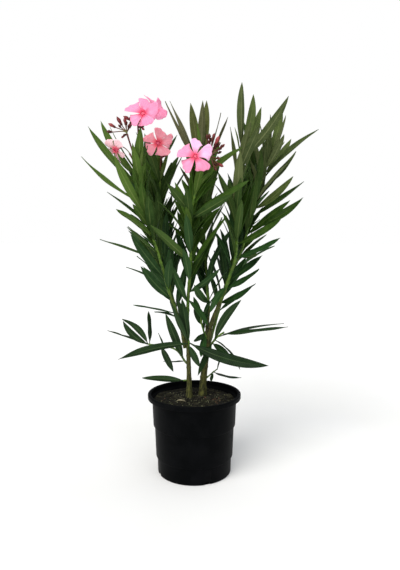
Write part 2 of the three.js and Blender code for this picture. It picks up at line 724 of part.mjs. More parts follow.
// Soil: a plug that fills the pot to a little below the rim.
function soilGeometry() {
  const top = WALL_TOP_RADIUS - SHELL - 1;
  const outline = [
    [0, SHELL + GAP],
    [BASE_RADIUS - FOOT_CHAMFER - SHELL - 1, SHELL + GAP],
    [BASE_RADIUS - SHELL - 1, FOOT_CHAMFER + 2],
    [LOWER_WALL_RADIUS - SHELL - 1, LOWER_STEP_Z],
    [UPPER_WALL_RADIUS - SHELL - 1, UPPER_STEP_Z],
    [top, POT_HEIGHT - LIP_DEPTH - 6],
    [top + 0.4, SOIL_TOP],
    [0, SOIL_TOP],
  ].map(([r, z]) => new THREE.Vector2(r, z));
  return new THREE.LatheGeometry(outline, SOIL_SEGMENTS).rotateX(Math.PI / 2);
}

// Colours
const FINISHES = {
  plastic: { color: 0x141517, roughness: 0.55 },
  soil: { color: 0x2b2418, roughness: 0.95 },
  bark: { color: 0x6b6438, roughness: 0.85 },
  leaves: { color: 0x35522a, roughness: 0.5 },
};

const plant = new THREE.Group();

function addMesh(name, geometry, finish) {
  const material = new THREE.MeshStandardMaterial({ ...FINISHES[finish], metalness: 0 });
  const mesh = new THREE.Mesh(geometry, material);
  mesh.name = name;
  plant.add(mesh);
}

addMesh('pot', geometryOf(potSolid()), 'plastic');
addMesh('soil', geometryOf(solidOfGeometry(soilGeometry())), 'soil');
for (const [name, limb] of Object.entries(limbs)) {
  addMesh(name, geometryOf(solidOf(limb.body(limb.flare ? 8 : 5, 8))), 'bark');
}
for (const [name, shoot] of Object.entries(shoots)) {
  const steps = Math.max(2, Math.round(shoot.length / SHOOT_STEP));
  addMesh(name, geometryOf(fuse([shoot.body(steps, 3), ...masses[name]])), 'leaves');
}

export default plant;
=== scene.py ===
"""A flowering oleander in a round plastic nursery pot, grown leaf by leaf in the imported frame."""

import math

import bmesh
import bpy
import numpy as np
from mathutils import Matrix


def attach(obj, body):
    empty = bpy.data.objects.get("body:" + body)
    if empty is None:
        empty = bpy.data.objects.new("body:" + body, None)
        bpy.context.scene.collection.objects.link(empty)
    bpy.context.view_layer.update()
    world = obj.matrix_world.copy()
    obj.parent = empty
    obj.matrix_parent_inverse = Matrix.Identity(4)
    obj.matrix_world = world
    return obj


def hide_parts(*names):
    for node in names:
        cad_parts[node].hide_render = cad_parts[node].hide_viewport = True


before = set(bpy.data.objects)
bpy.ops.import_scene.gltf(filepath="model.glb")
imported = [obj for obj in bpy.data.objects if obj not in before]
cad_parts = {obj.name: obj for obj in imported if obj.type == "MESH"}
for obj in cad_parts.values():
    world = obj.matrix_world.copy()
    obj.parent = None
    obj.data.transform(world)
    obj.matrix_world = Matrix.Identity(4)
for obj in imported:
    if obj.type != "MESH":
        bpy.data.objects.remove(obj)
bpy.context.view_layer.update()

# Lengths are millimetres and angles degrees until a mesh is made, as in the part's source.
MM = 0.001

# Camera
CAMERA_PLACE = (11.6, -1043, 479)
CAMERA_PITCH = 5.16
CAMERA_LENS = 32.84
CAMERA_SENSOR = 36

# Pot
POT_HEIGHT = 163.5
RIM_RADIUS = 95
LIP_DEPTH = 9
LIP_WIDTH = 6.5
SHELL = 1.7
WALL_TOP_RADIUS = 86
UPPER_WALL_RADIUS = 81.2
UPPER_STEP_Z = 98
LOWER_WALL_RADIUS = 76
LOWER_STEP_Z = 34
STEP = 2.8
STEP_RISE = 1.2
BASE_RADIUS = 75
POT_SEGMENTS = 144
NOTCHES = 4
NOTCH_WIDTH = 14
NOTCH_HEIGHT = 6
NOTCH_BEARING = -69

# Soil
SOIL_TOP = 150
SOIL_RADIUS = WALL_TOP_RADIUS - SHELL - 0.6

# Clearance between neighbouring solids
GAP = 0.3

# Stems: how each is divided, how far apart two points give its direction, and over what length a root
# flare fades out.
STATIONS = 12
CURVE_MARKS = 201
NUDGE = 1e-4
FLARE_FADE = 9

# Leaves
LEAF_WIDTH = 9.5
WIDTH_PER_LENGTH = 0.075
LEAF_THICKNESS_RATIO = 0.013
PETIOLE = 2.2
NECK = 0.05
LEAF_STATIONS = ((0.3, 0.84), (0.68, 0.86))
WHORL = 3
WHORL_SPACING = 28
FIRST_WHORL = 0.6
LAST_SEAT = 0.99
LOOSE_SEAT = 2
LOOSE_BEARING = 16
LOOSE_SPREAD = 9
LOOSE_LENGTH = 0.14
LOOSE_ROLL = 38
CURL = 4
LOOSE_CURL = 8
SHARED_SPACING = 0.6
SHARED_BEARING = 45
LEAF_MARGIN = 0.5
POT_MARGIN = 1
ROOT_CROWD = 16
RETRIES = ((0, 0, 1), (20, 0, 0.95), (-20, 4, 0.95), (0, 12, 0.75))

# Flowers
PETALS = 5
PETAL_STATIONS = ((0.42, 0.6), (0.78, 0.95))
PETAL_WIDTH_RATIO = 0.4
PETAL_THICKNESS = 1
PETAL_TWIST = 16
PETAL_SEAT = 2.4
PETAL_SINK = 3
PETAL_BEND = 0.22
PETAL_RISE = 4
THROAT_LENGTH = 17
THROAT_RADIUS = 4.5
STALK_RADIUS = 1.5
PEDICEL_RADIUS = 0.9
CALYX_RADIUS = 1.6
BUD_RADIUS = 2.6
BUD_MIDDLE = 0.45
KNOB_RADIUS = 2.4
KNOB_SIDES = 5

UP = np.array([0.0, 0.0, 1.0])
EAST = np.array([1.0, 0.0, 0.0])
STEEP = 0.9
PARALLEL = 1e-12

# Stems and boughs: what each grows on, the bends of its route, its radii, its root flare, and how old its
# bark looks at foot and tip.
LIMBS = {
    "trunk_left": dict(
        route=((-11, 12, 150.3), (-11, 11, 186), (-12, 9, 235), (-14, 8, 272)),
        radii=(5.6, 3.7), flare=2.6, age=(1, 0.62),
    ),
    "trunk_right": dict(
        route=((17, 33, 150.3), (19, 32, 185), (26, 30, 245), (32, 30, 290)),
        radii=(7.4, 5.6), flare=2.4, age=(1, 0.66),
    ),
    "bough_centre": dict(
        on="trunk_left", route=((-15, 7, 292), (-14, 6, 315)), radii=(3.6, 3.4), age=(0.62, 0.5),
    ),
    "bough_left": dict(
        on="trunk_left", at=0.9, route=((-27, 3, 299), (-39, -4, 333)), radii=(3.5, 3.2), age=(0.6, 0.45),
    ),
    "bough_right": dict(
        on="trunk_right", route=((40, 27, 316), (54, 22, 348)), radii=(4.4, 3.6), age=(0.66, 0.5),
    ),
    "bough_back": dict(
        on="trunk_right", at=0.9, route=((29, 42, 318), (30, 43, 330)), radii=(3.6, 3.3), age=(0.6, 0.5),
    ),
}

# Leafy shoots: what each grows on, its route and radii. The long ones bear whorls: the turn of the first,
# the leaves' lengths and spreads from foot to tip, the share that is bare of them, and the side left open
# near the tip, from where along it, its bearing and how far round. Then come the greens at the foot,
# middle and tip, and the leaves that stand out: seat along the stem, bearing, lift above level, length,
# sag and roll.
SHOOTS = {
    "left_shoot": dict(
        on="bough_left",
        route=((-52, -10, 378), (-69, -20, 444), (-94, -33, 527), (-105, -38, 604)),
        radii=(3.2, 2), turn=10, lengths=(108, 88), spreads=(42, 20),
        bare=0.15, open_side=(0.6, -170, 50), seed=11, greens=("deep", "mid", "bright"),
        standing=(
            (0.79, -172, 37, 143, 9, 18), (0.89, -154, 47, 146, 6, 20), (0.96, 167, 55, 135, 10, 60),
            (0.98, 138, 50, 133, 4, 40), (0.71, -145, 59, 126, 5, 60), (0.64, 155, 35, 116, -1, 0),
            (0.55, -131, 29, 104, -3, 10), (0.43, -120, 27, 109, 1, -10), (0.38, 178, 19, 126, 0, 12),
            (0.24, -144, 49, 117, 2, 60), (0.09, -126, 38, 113, 3, 70),
        ),
    ),
    "inner_left_shoot": dict(
        on="bough_left", at=0.55,
        route=((-46, 22, 362), (-61, 37, 429), (-70, 45, 516), (-70, 36, 613)),
        radii=(3, 2), turn=40, lengths=(108, 110), spreads=(38, 16),
        bare=0.06, seed=23, greens=("deep", "mid", "mid"),
        standing=(
            (0.93, -125, 63, 104, 0, 20), (0.91, -28, 68, 108, -8, 40), (0.82, -57, 42, 116, 0, 25),
            (0.08, -171, 12, 91, 0, 0), (0.05, 166, 11, 53, -2, 0), (0.11, -25, 76, 95, 2, -40),
        ),
    ),
    "centre_shoot": dict(
        on="bough_centre",
        route=((-12, 1, 364), (-7, -12, 432), (-5, -32, 529), (13, -42, 596)),
        radii=(3.4, 2.2), turn=20, lengths=(110, 100), spreads=(40, 28),
        bare=0.1, seed=37, greens=("deep", "mid", "bright"),
        standing=(
            (0.73, -20, 29, 132, 0, 60), (0.71, -47, 20, 117, 0, -50), (0.75, -126, 35, 88, 0, 30),
            (0.41, -147, 39, 114, 0, 50), (0.38, -41, 47, 133, 0, 60), (0.11, -139, 62, 97, 2, 26),
            (0.14, -41, -42, 72, -4, 22), (0.19, -33, 35, 90, 4, -44),
        ),
    ),
    "top_shoot": dict(
        on="bough_back",
        route=((26, 49, 391), (21, 54, 475), (16, 52, 558), (13, 44, 627)),
        radii=(3.3, 1.9), turn=0, lengths=(110, 116), spreads=(38, 16),
        bare=0, seed=41, greens=("deep", "mid", "olive"),
        standing=(
            (0.96, -168, 62, 156, 4, 8), (0.96, 152, 64, 168, 0, 50), (0.99, 145, 79, 135, 0, -55),
            (0.99, -81, 79, 130, 0, 20), (0.97, -19, 85, 140, 2, 80), (0.94, 39, 68, 143, 4, -28),
            (0.92, -42, 58, 132, 4, 28), (0.04, -109, 28, 100, 6, 20), (0.15, -66, 66, 79, 0, 0),
        ),
    ),
    "right_shoot": dict(
        on="bough_right",
        route=((72, 9, 402), (84, -6, 455), (82, -18, 561), (93, -16, 649)),
        radii=(3.6, 1.9), turn=50, lengths=(110, 120), spreads=(40, 16),
        bare=0, open_side=(0.6, 180, 97), seed=53, greens=("deep", "mid", "sage"),
        standing=(
            (0.99, -102, 88, 129, 14, 56), (0.99, 34, 76, 116, 6, 70), (0.97, 47, 58, 120, 6, 60),
            (0.94, -27, 49, 144, 8, -50), (0.86, -61, 48, 106, 0, -20), (0.78, -118, 73, 110, -4, -42),
            (0.41, -33, 27, 107, 4, 60), (0.32, -45, 20, 116, 4, 50), (0.15, -24, 37, 90, 1, 60),
            (0.1, -28, 30, 84, 4, 60), (0.12, -135, -46, 71, -4, -28),
        ),
    ),
    "outer_right_shoot": dict(
        on="bough_right", at=0.8,
        route=((78, 40, 408), (102, 50, 462), (129, 62, 559), (155, 56, 645)),
        radii=(3.2, 1.9), turn=15, lengths=(108, 110), spreads=(38, 18),
        bare=0.15, open_side=(0.7, -42, 25), seed=67, greens=("deep", "mid", "sage"),
        standing=(
            (0.99, 26, 74, 116, 4, 70), (0.98, -51, 61, 96, 4, 10), (0.93, -72, 34, 99, 4, 10),
            (0.89, 33, 47, 111, 4, 25), (0.85, -5, 42, 155, -8, 30), (0.78, 24, 44, 129, 6, 20),
            (0.66, -35, 35, 110, 6, 75), (0.61, 5, 34, 135, 4, 30), (0.54, -9, 29, 128, 10, 55),
            (0.49, -34, 35, 120, 0, 80), (0.34, -71, 6, 94, 0, -40), (0.02, -32, 26, 83, 4, 60),
        ),
    ),
    "back_left_shoot": dict(
        on="trunk_left", at=0.97,
        route=((-58, 76, 382), (-84, 97, 507), (-91, 92, 608)),
        radii=(3, 1.8), turn=30, lengths=(112, 108), spreads=(40, 20),
        bare=0.25, seed=71, greens=("deep", "deep", "mid"), standing=(),
    ),
    "back_right_shoot": dict(
        on="trunk_right", at=0.75,
        route=((73, 92, 398), (104, 106, 529), (121, 94, 638)),
        radii=(3.2, 1.8), turn=0, lengths=(112, 110), spreads=(40, 18),
        bare=0.15, seed=83, greens=("deep", "deep", "mid"), standing=(),
    ),
    "low_left_shoot": dict(
        on="trunk_left", at=0.6, route=((-42, 20, 250), (-99, 36, 257)), radii=(2.2, 1.5),
        standing=(
            (0.08, -132, 63, 114, 0, 55), (0.05, 158, -6, 50, 2, 0), (0.99, -163, 46, 77, -8, 70),
            (0.99, 165, 15, 95, 0, 10), (0.97, -165, 44, 74, 8, 75), (0.94, 104, 77, 70, 0, 50),
            (0.63, -118, 58, 37, 0, -35), (0.7, -46, -50, 63, 0, 40),
        ),
    ),
    "low_front_shoot": dict(
        on="trunk_left", at=0.88, route=((-10, -14, 273),), radii=(2, 1.6),
        standing=(
            (0.6, -159, -8, 146, -6, 70), (0.75, -15, -13, 165, 10, 60), (0.35, -50, -48, 52, 0, 60),
            (0.5, -160, 76, 100, 0, 50), (0.8, -150, 80, 92, 0, 40), (0.68, -145, 64, 101, 2, 13),
        ),
    ),
    "low_right_shoot": dict(
        on="trunk_right", at=0.77, route=((47, 18, 275), (61, 10, 287)), radii=(2.2, 1.5),
        standing=(
            (0.83, -10, 8, 136, 2, 18), (0.57, 16, 8, 151, -4, 0), (0.29, -57, 46, 132, -8, -25),
            (0.12, -50, -22, 62, -2, 60), (0.36, 39, -46, 104, -8, 20), (0.12, -123, -46, 79, 0, -10),
        ),
    ),
    # The middle shoot's lowest leaves take the darker painted shade greens, because they sit under the crown.
    "middle_shoot": dict(
        on="trunk_right", at=0.87, route=((16, 12, 299), (13, 4, 321)), radii=(2, 1.4),
        turn=60, lengths=(60, 60), spreads=(45, 30), bare=0, seed=107, greens=("painted_shade", "deep", "deep"),
        standing=((0.27, -128, -21, 37, 4, -20), (0.2, -100, -40, 60, 4, 0)),
    ),
    "foot_shoot": dict(
        on="trunk_right", at=0.27, route=((39, 22, 200), (47, 16, 208)), radii=(1.6, 1.2),
        standing=((0.66, -43, 1, 73, 4, 0), (0.5, -96, -30, 24, 0, 40), (0.97, -37, 69, 29, 0, 40)),
    ),
    "foot_left_shoot": dict(
        on="trunk_left", at=0.3, route=((-23, 5, 187),), radii=(1.6, 1.2),
        standing=((0.6, -178, 4, 88, -1, 80),),
    ),
}

# Flower heads: the shoot that carries each, its stalk, and what opens on it.
# A stalk is its seat along the shoot, bearing, lift and length. A flower is bearing, lift and
# distance from the stalk's tip, the bearing and lift that it faces, its width, its spin and its colour.
# A bud is bearing, lift, distance and length. Younger buds stand among these, as many as young says.
HEADS = (
    dict(
        shoot="left_shoot", stalk=(0.955, -149, 73, 85), flowers=(),
        buds=((180, 29, 40, 15), (-156, 57, 36, 18), (132, 76, 33, 15), (-40, 57, 29, 17), (161, -28, 14, 7)),
        young=5,
    ),
    dict(
        shoot="left_shoot", stalk=(0.985, -160, 65, 42),
        flowers=((-143, 6, 30, -125, -30, 46, 20, "blush"),), buds=(), young=0,
    ),
    dict(
        shoot="left_shoot", stalk=(0.97, -91, 83, 96),
        flowers=((-63, 32, 29, -95, 20, 56, -17, "rose"), (0, 43, 43, -48, 28, 50, 10, "rose")),
        buds=((-9, -43, 17, 9), (180, 50, 11, 8), (-148, 20, 32, 16)), young=6,
    ),
    dict(
        shoot="inner_left_shoot", stalk=(0.97, -81, 51, 44),
        flowers=((-98, 41, 37, -86, 4, 54, -20, "salmon"),),
        buds=((-22, 30, 16, 14), (-78, -4, 14, 12)), young=3,
    ),
    dict(
        shoot="centre_shoot", stalk=(0.97, -51, 55, 47),
        flowers=((-144, 3, 31, -98, 8, 62, -11, "two_tone"),),
        buds=((-22, 62, 45, 19), (42, 73, 50, 13), (4, 41, 40, 12), (-39, -28, 39, 14), (85, 47, 32, 10)),
        young=18,
    ),
)


# Vectors and random numbers
def unit(v):
    return v / np.linalg.norm(v)


def units(rows):
    return rows / np.linalg.norm(rows, axis=1)[:, None]


def towards(bearing, lift):
    b, e = math.radians(bearing), math.radians(lift)
    return np.array([math.cos(e) * math.cos(b), math.cos(e) * math.sin(b), math.sin(e)])


def turned(v, axis, degrees):
    """A vector turned about an axis of length 1 by the right-hand rule."""
    a = math.radians(degrees)
    return v * math.cos(a) + np.cross(axis, v) * math.sin(a) + axis * (axis @ v) * (1 - math.cos(a))


def side_of(direction):
    """A way that is well off a direction, for the first point of a ring about it."""
    return UP if abs(direction[2]) < STEEP else EAST


def turn_between(bearing, other):
    return abs((bearing - other + 540) % 360 - 180)


def between(ends, share):
    return ends[0] + (ends[1] - ends[0]) * share


def smooth(t):
    t = np.clip(t, 0, 1)
    return t * t * (3 - 2 * t)


def turns(sides):
    return 2 * math.pi * np.arange(sides) / sides


def ring(centre, direction, radius, sides, side):
    across = unit(side - direction * (side @ direction))
    over = np.cross(direction, across)
    turn = turns(sides)
    return centre + radius * (np.cos(turn)[:, None] * across + np.sin(turn)[:, None] * over)


def rays(direction, side):
    """The ways that a flower's parts point round its direction."""
    return ring(np.zeros(3), direction, 1, PETALS, side)


def run_of(points):
    """How far along a line each of its points is."""
    return np.concatenate([[0], np.cumsum(np.linalg.norm(np.diff(points, axis=0), axis=1))])


def numbers_from(seed):
    """A repeatable row of numbers between 0 and 1, the same as the source draws."""
    mask = 0xFFFFFFFF
    state = seed
    while True:
        state = (state + 0x6D2B79F5) & mask
        mixed = ((state ^ (state >> 15)) * (1 | state)) & mask
        mixed = ((mixed + (mixed ^ (mixed >> 7)) * (61 | mixed)) & mask) ^ mixed
        yield (mixed ^ (mixed >> 14)) / 4294967296


def loosely(draws):
    """A function that draws a number up to an amount either way."""
    def loose(amount):
        return (2 * next(draws) - 1) * amount

    return loose


# Limbs
class Limb:
    """A stem or bough: its curve, its radius along it, and the side its first edge faces."""

    def __init__(self, points, radii, flare, side, foot_axis=None):
        points = np.array(points, float)
        self.knots = np.vstack([2 * points[0] - points[1], points, 2 * points[-1] - points[-2]])
        self.radii, self.flare, self.side, self.foot_axis = radii, flare, side, foot_axis
        self.shares = np.linspace(0, 1, CURVE_MARKS)
        self.run = run_of(self.at(self.shares))
        self.length = self.run[-1]
        self.stations = np.array([self.point(k / STATIONS) for k in range(STATIONS + 1)])

    def at(self, t):
        t = np.atleast_1d(t) * (len(self.knots) - 3)
        piece = np.minimum(t.astype(int), len(self.knots) - 4)
        w = (t - piece)[:, None]
        p0, p1, p2, p3 = (self.knots[piece + k] for k in range(4))
        v0, v1 = (p2 - p0) / 2, (p3 - p1) / 2
        return (2 * p1 - 2 * p2 + v0 + v1) * w**3 + (3 * p2 - 3 * p1 - 2 * v0 - v1) * w**2 + v0 * w + p1

    def share(self, along):
        return float(np.interp(along * self.length, self.run, self.shares))

    def point(self, along):
        return self.at(self.share(along))[0]

    def direction(self, along):
        if self.foot_axis is not None and along == 0:
            return self.foot_axis
        t = self.share(along)
        behind, ahead = self.at([max(0, t - NUDGE), min(1, t + NUDGE)])
        return unit(ahead - behind)

    def radius(self, along):
        return between(self.radii, along) + self.flare * math.exp(-along * self.length / FLARE_FADE)


def limb_on(limbs, route, radii, on=None, at=None, flare=0, **_):
    """A limb that goes on from its parent's tip, or leaves the parent's side, just clear of it."""
    points = [np.array(p, float) for p in route]
    if on is None:
        return Limb(points, radii, flare, EAST, UP)
    parent = limbs[on]
    seat = parent.point(1 if at is None else at)
    axis = parent.direction(1 if at is None else at)
    if at is None:
        return Limb([seat + axis * GAP, *points], radii, flare, parent.side, axis)
    away = points[0] - seat
    heading = unit(away)
    away = unit(away - axis * (away @ axis))
    half_width = radii[0] * math.sqrt(1 - (heading @ away) ** 2)
    return Limb([seat + away * (parent.radius(at) + GAP + half_width), *points], radii, flare, -away)


# Plain bodies, and how they keep clear of each other
class Body:
    """A plain closed body that later leaves keep clear of, as the source builds it."""

    def __init__(self, rings, tip=None, heel=None):
        sides, points = len(rings[0]), list(np.vstack(rings))
        last, faces = len(points) - sides, []
        if heel is not None:
            points.append(heel)
            faces += [((k + 1) % sides, k, len(points) - 1) for k in range(sides)]
        else:
            faces += [(0, k + 1, k) for k in range(1, sides - 1)]
        for start in range(0, last, sides):
            for k in range(sides):
                follow = start + (k + 1) % sides
                faces += [(start + k, follow, follow + sides), (start + k, follow + sides, start + k + sides)]
        if tip is not None:
            points.append(tip)
            faces += [(last + k, last + (k + 1) % sides, len(points) - 1) for k in range(sides)]
        else:
            faces += [(last, last + k, last + k + 1) for k in range(1, sides - 1)]
        self.points = np.array(points)
        edges = {(a, b) for f in faces for a, b in zip(f, f[1:] + f[:1]) if a < b}
        ends = self.points[np.array(sorted(edges))]
        self.start, self.end = ends[:, 0], ends[:, 1]
        self.corners = self.points[np.array(faces)]
        self.low, self.high = self.points.min(0), self.points.max(0)


def pierces(body, other):
    """Whether one of a body's edges passes through a face of another."""
    a, b, c = (other.corners[:, k] for k in range(3))
    way = body.end - body.start
    u, v = b - a, c - a
    p = np.cross(way[:, None], v[None])
    det = np.einsum("fk,efk->ef", u, p)
    with np.errstate(divide="ignore", invalid="ignore"):
        s = body.start[:, None] - a[None]
        along_u = np.einsum("efk,efk->ef", s, p) / det
        q = np.cross(s, u[None])
        along_v = np.einsum("ek,efk->ef", way, q) / det
        t = np.einsum("fk,efk->ef", v, q) / det
        inside = (along_u >= 0) & (along_v >= 0) & (along_u + along_v <= 1) & (t >= 0) & (t <= 1)
    return bool(inside.any())


def nearest(p1, q1, p2, q2):
    """The shortest way between each first segment and each second one."""
    d1, d2, r = (q1 - p1)[:, None], (q2 - p2)[None], p1[:, None] - p2[None]
    a, e = (d1 * d1).sum(2), (d2 * d2).sum(2)
    b, c, f = (d1 * d2).sum(2), (d1 * r).sum(2), (d2 * r).sum(2)
    det = a * e - b * b
    s = np.where(det > PARALLEL, np.clip((b * f - c * e) / np.maximum(det, PARALLEL), 0, 1), 0)
    t = (b * s + f) / e
    s = np.where(t < 0, np.clip(-c / a, 0, 1), np.where(t > 1, np.clip((b - c) / a, 0, 1), s))
    t = np.clip(t, 0, 1)
    return np.linalg.norm(r + d1 * s[..., None] - d2 * t[..., None], axis=2)


# Leaves and petals as lines: where each is rooted, how it bends and where it ends.
def bezier(leaf, t):
    t = np.atleast_1d(t)[:, None]
    return (1 - t) ** 2 * leaf["root"] + 2 * t * (1 - t) * leaf["bend"] + t**2 * leaf["tip"]


def bezier_way(leaf, t):
    t = np.atleast_1d(t)[:, None]
    return units((1 - t) * (leaf["bend"] - leaf["root"]) + t * (leaf["tip"] - leaf["bend"]))


def blade(leaf, width, thickness, stations, margin=0):
    side, rings = leaf["side"], []
    for along, share in ((NECK, PETIOLE / width), *stations):
        centre = bezier(leaf, along)[0]
        above = unit(np.cross(bezier_way(leaf, along)[0], side))
        half = width * share / 2 + margin
        rings.append(np.array([
            centre - side * half + above * margin,
            centre - above * (thickness + margin),
            centre + side * half + above * margin,
        ]))
    return Body(rings, leaf["tip"] + bezier_way(leaf, 1)[0] * 2 * margin, leaf["root"])


def leaf_width(length):
    return LEAF_WIDTH + length * WIDTH_PER_LENGTH


def leaf_blade(leaf, margin=0):
    length = leaf["length"]
    return blade(leaf, leaf_width(length), length * LEAF_THICKNESS_RATIO, LEAF_STATIONS, margin)


def rolled(side, heading, roll):
    return unit(turned(side, heading, roll))


def standing_leaf(shoot, along, bearing, lift, length, sag, roll):
    root = shoot.point(along)
    heading = towards(bearing, lift)
    level = towards(bearing + 90, 0)
    tip = root + heading * length
    bend = (root + tip) / 2 - np.cross(heading, level) * 2 * sag
    side = rolled(level, heading, roll)
    return dict(root=root, bend=bend, tip=tip, length=length, along=along, side=side)


def whorl_leaf(shoot, along, bearing, spread, curl, length, roll):
    root, stem = shoot.point(along), shoot.direction(along)
    out = turned(unit(EAST - stem * (EAST @ stem)), stem, bearing)

    def leaning(angle):
        return stem * math.cos(math.radians(angle)) + out * math.sin(math.radians(angle))

    bend = root + leaning(spread - curl) * length / 2
    tip = bend + leaning(spread + curl) * length / 2
    side = rolled(np.cross(stem, out), leaning(spread), roll)
    return dict(root=root, bend=bend, tip=tip, length=length, along=along, side=side)


# What already stands: limbs and bodies that a new leaf keeps clear of.
limbs = {}
for name, row in LIMBS.items():
    limbs[name] = limb_on(limbs, **row)
shoots = {name: limb_on(limbs, **row) for name, row in SHOOTS.items()}
everything = {**limbs, **shoots}
piece_start = np.vstack([limb.stations[:-1] for limb in everything.values()])
piece_end = np.vstack([limb.stations[1:] for limb in everything.values()])
piece_reach = np.array([
    limb.radius(k / STATIONS) + LEAF_MARGIN for limb in everything.values() for k in range(STATIONS)
])
piece_owner = np.repeat(list(everything), STATIONS)
placed = []


def place(name, body, seat=math.inf):
    placed.append((name, body, seat))


def is_clear(name, seat, body):
    inside = np.hypot(body.points[:, 0], body.points[:, 1]) < RIM_RADIUS + POT_MARGIN
    if (inside & (body.points[:, 2] < POT_HEIGHT + POT_MARGIN)).any():
        return False
    others = piece_owner != name
    gaps = nearest(body.start, body.end, piece_start[others], piece_end[others])
    if (gaps < piece_reach[others]).any():
        return False
    for owner, other, other_seat in placed:
        if owner == name and abs(other_seat - seat) < ROOT_CROWD:
            continue
        if (body.low > other.high).any() or (other.low > body.high).any():
            continue
        if pierces(body, other) or pierces(other, body):
            return False
    return True


# Flower heads come first. Each flower and bud is kept, to be modelled in full further down.
def stalk_body(start, end, radius):
    direction = unit(end - start)
    side = side_of(direction)
    neck = start + direction * 2 * radius
    return Body([ring(neck, direction, radius, 3, side), ring(end, direction, radius, 3, side)], heel=start)


def bud_body(base, direction, length):
    side = side_of(direction)
    middle = base + direction * length * BUD_MIDDLE
    rings = [ring(base, direction, CALYX_RADIUS, 4, side), ring(middle, direction, BUD_RADIUS, 4, side)]
    return Body(rings, base + direction * length)


def throat_body(base, mouth, facing):
    between_petals = turned(side_of(facing), facing, 180 / PETALS)
    return Body([
        ring(base, facing, CALYX_RADIUS, PETALS, between_petals),
        ring(mouth, facing, THROAT_RADIUS, PETALS, between_petals),
    ])


def petal_line(mouth, facing, ray, width):
    return dict(
        root=mouth - facing * PETAL_SINK + ray * PETAL_SEAT,
        bend=mouth + ray * width * PETAL_BEND + facing * PETAL_RISE,
        tip=mouth + ray * width / 2,
        side=rolled(np.cross(facing, ray), ray, PETAL_TWIST),
    )


heads, flowers, buds, stalks = [], [], [], []
for head_row in HEADS:
    name = head_row["shoot"]
    seat, bearing, lift, reach = head_row["stalk"]
    way = towards(bearing, lift)
    foot = shoots[name].point(seat)
    head = foot + way * reach
    place(name, stalk_body(foot, head, STALK_RADIUS), seat * shoots[name].length)
    place(name, Body([
        ring(head + way * k * KNOB_RADIUS, way, KNOB_RADIUS, KNOB_SIDES, side_of(way)) for k in (-1, 1)
    ]))
    heads.append((head_row, head, way))
    stalks.append((foot, head, shoots[name].direction(seat), way, STALK_RADIUS))
    for around, above, distance, faces_to, faces_up, width, spin, colour in head_row["flowers"]:
        facing = towards(faces_to, faces_up)
        mouth = head + towards(around, above) * distance
        base = mouth - facing * THROAT_LENGTH
        place(name, stalk_body(head, base + facing, PEDICEL_RADIUS))
        place(name, throat_body(base, mouth, facing))
        for ray in rays(facing, side_of(facing)):
            petal = petal_line(mouth, facing, ray, width)
            place(name, blade(petal, width * PETAL_WIDTH_RATIO, PETAL_THICKNESS, PETAL_STATIONS))
        flowers.append((mouth, facing, width, spin, colour))
        stalks.append((head, base + facing, way, facing, PEDICEL_RADIUS))
    for around, above, distance, length in head_row["buds"]:
        direction = towards(around, above)
        base = head + direction * (distance - length)
        place(name, stalk_body(head, base + direction, PEDICEL_RADIUS))
        place(name, bud_body(base, direction, length))
        buds.append((base, direction, length))
        stalks.append((head, base + direction, way, direction, PEDICEL_RADIUS))

# Younger buds, still closed in their calyces, stand on shorter stalks round the listed ones.
YOUNG_TURN = 30
YOUNG_LIFT = 25
YOUNG_LENGTHS = (6.5, 11)
YOUNG_REACH = (0.6, 1)
young_buds = []
bud_draws = numbers_from(6007)
for head_row, head, way in heads:
    for k in range(head_row["young"]):
        around, above, distance, _ = head_row["buds"][k % len(head_row["buds"])]
        turn, rise, share = (next(bud_draws) for _ in range(3))
        around += 2 * YOUNG_TURN * turn - YOUNG_TURN
        above += 2 * YOUNG_LIFT * rise - YOUNG_LIFT
        direction = towards(around, above)
        length = between(YOUNG_LENGTHS, share)
        base = head + direction * (distance * between(YOUNG_REACH, share) - length)
        young_buds.append((base, direction, length))
        stalks.append((head, base + direction, way, direction, PEDICEL_RADIUS))

# Leaves that stand out of their shoots come next, then the whorls fill in.
leaves = []


def grow(name, leaf):
    """Adds a leaf where it is clear of everything that stands, and says whether it was."""
    seat = leaf["along"] * shoots[name].length
    if not is_clear(name, seat, leaf_blade(leaf, LEAF_MARGIN)):
        return False
    place(name, leaf_blade(leaf), seat)
    leaves.append({"shoot": name, **leaf})
    return True


def takes_place(standing, along, bearing, length):
    """Whether a leaf that stands out is where a whorl's leaf would be."""
    for seat, way, *_ in standing:
        near = abs(seat - along) * length < WHORL_SPACING * SHARED_SPACING
        if near and turn_between(bearing, way) < SHARED_BEARING:
            return True
    return False


def stays_bare(height, bearing, bare, open_side):
    """Whether a shoot has no leaf at a height and bearing: near its foot, or on a side left open."""
    if open_side is None or height < bare:
        return height < bare
    start, middle, reach = open_side
    return height > start and turn_between(bearing, middle) < reach


def grow_whorls(name, row, seed, first, share, spacing, start):
    """Whorls of leaves up a shoot, each leaf a share of the full length."""
    shoot = shoots[name]
    draws = numbers_from(seed)
    loose = loosely(draws)
    bare = max(start, row["bare"])
    whorls = round(shoot.length / spacing)
    for k in range(whorls):
        height = (k + first) / whorls
        for j in range(WHORL):
            along = min(LAST_SEAT, height + loose(LOOSE_SEAT) / shoot.length)
            bearing = row["turn"] + k * (180 / WHORL) + j * (360 / WHORL) + loose(LOOSE_BEARING)
            spread = between(row["spreads"], height) + loose(LOOSE_SPREAD)
            curl = CURL + LOOSE_CURL * next(draws)
            length = between(row["lengths"], height)
            length *= share * (1 + loose(LOOSE_LENGTH))
            roll = loose(LOOSE_ROLL)
            if stays_bare(height, bearing, bare, row.get("open_side")):
                continue
            if takes_place(row["standing"], along, bearing, shoot.length):
                continue
            for aside, steeper, shorter in RETRIES:
                lie = (bearing + aside, spread - steeper, curl, length * shorter, roll)
                if grow(name, whorl_leaf(shoot, along, *lie)):
                    break


for name, row in SHOOTS.items():
    for standing in row["standing"]:
        grow(name, standing_leaf(shoots[name], *standing))

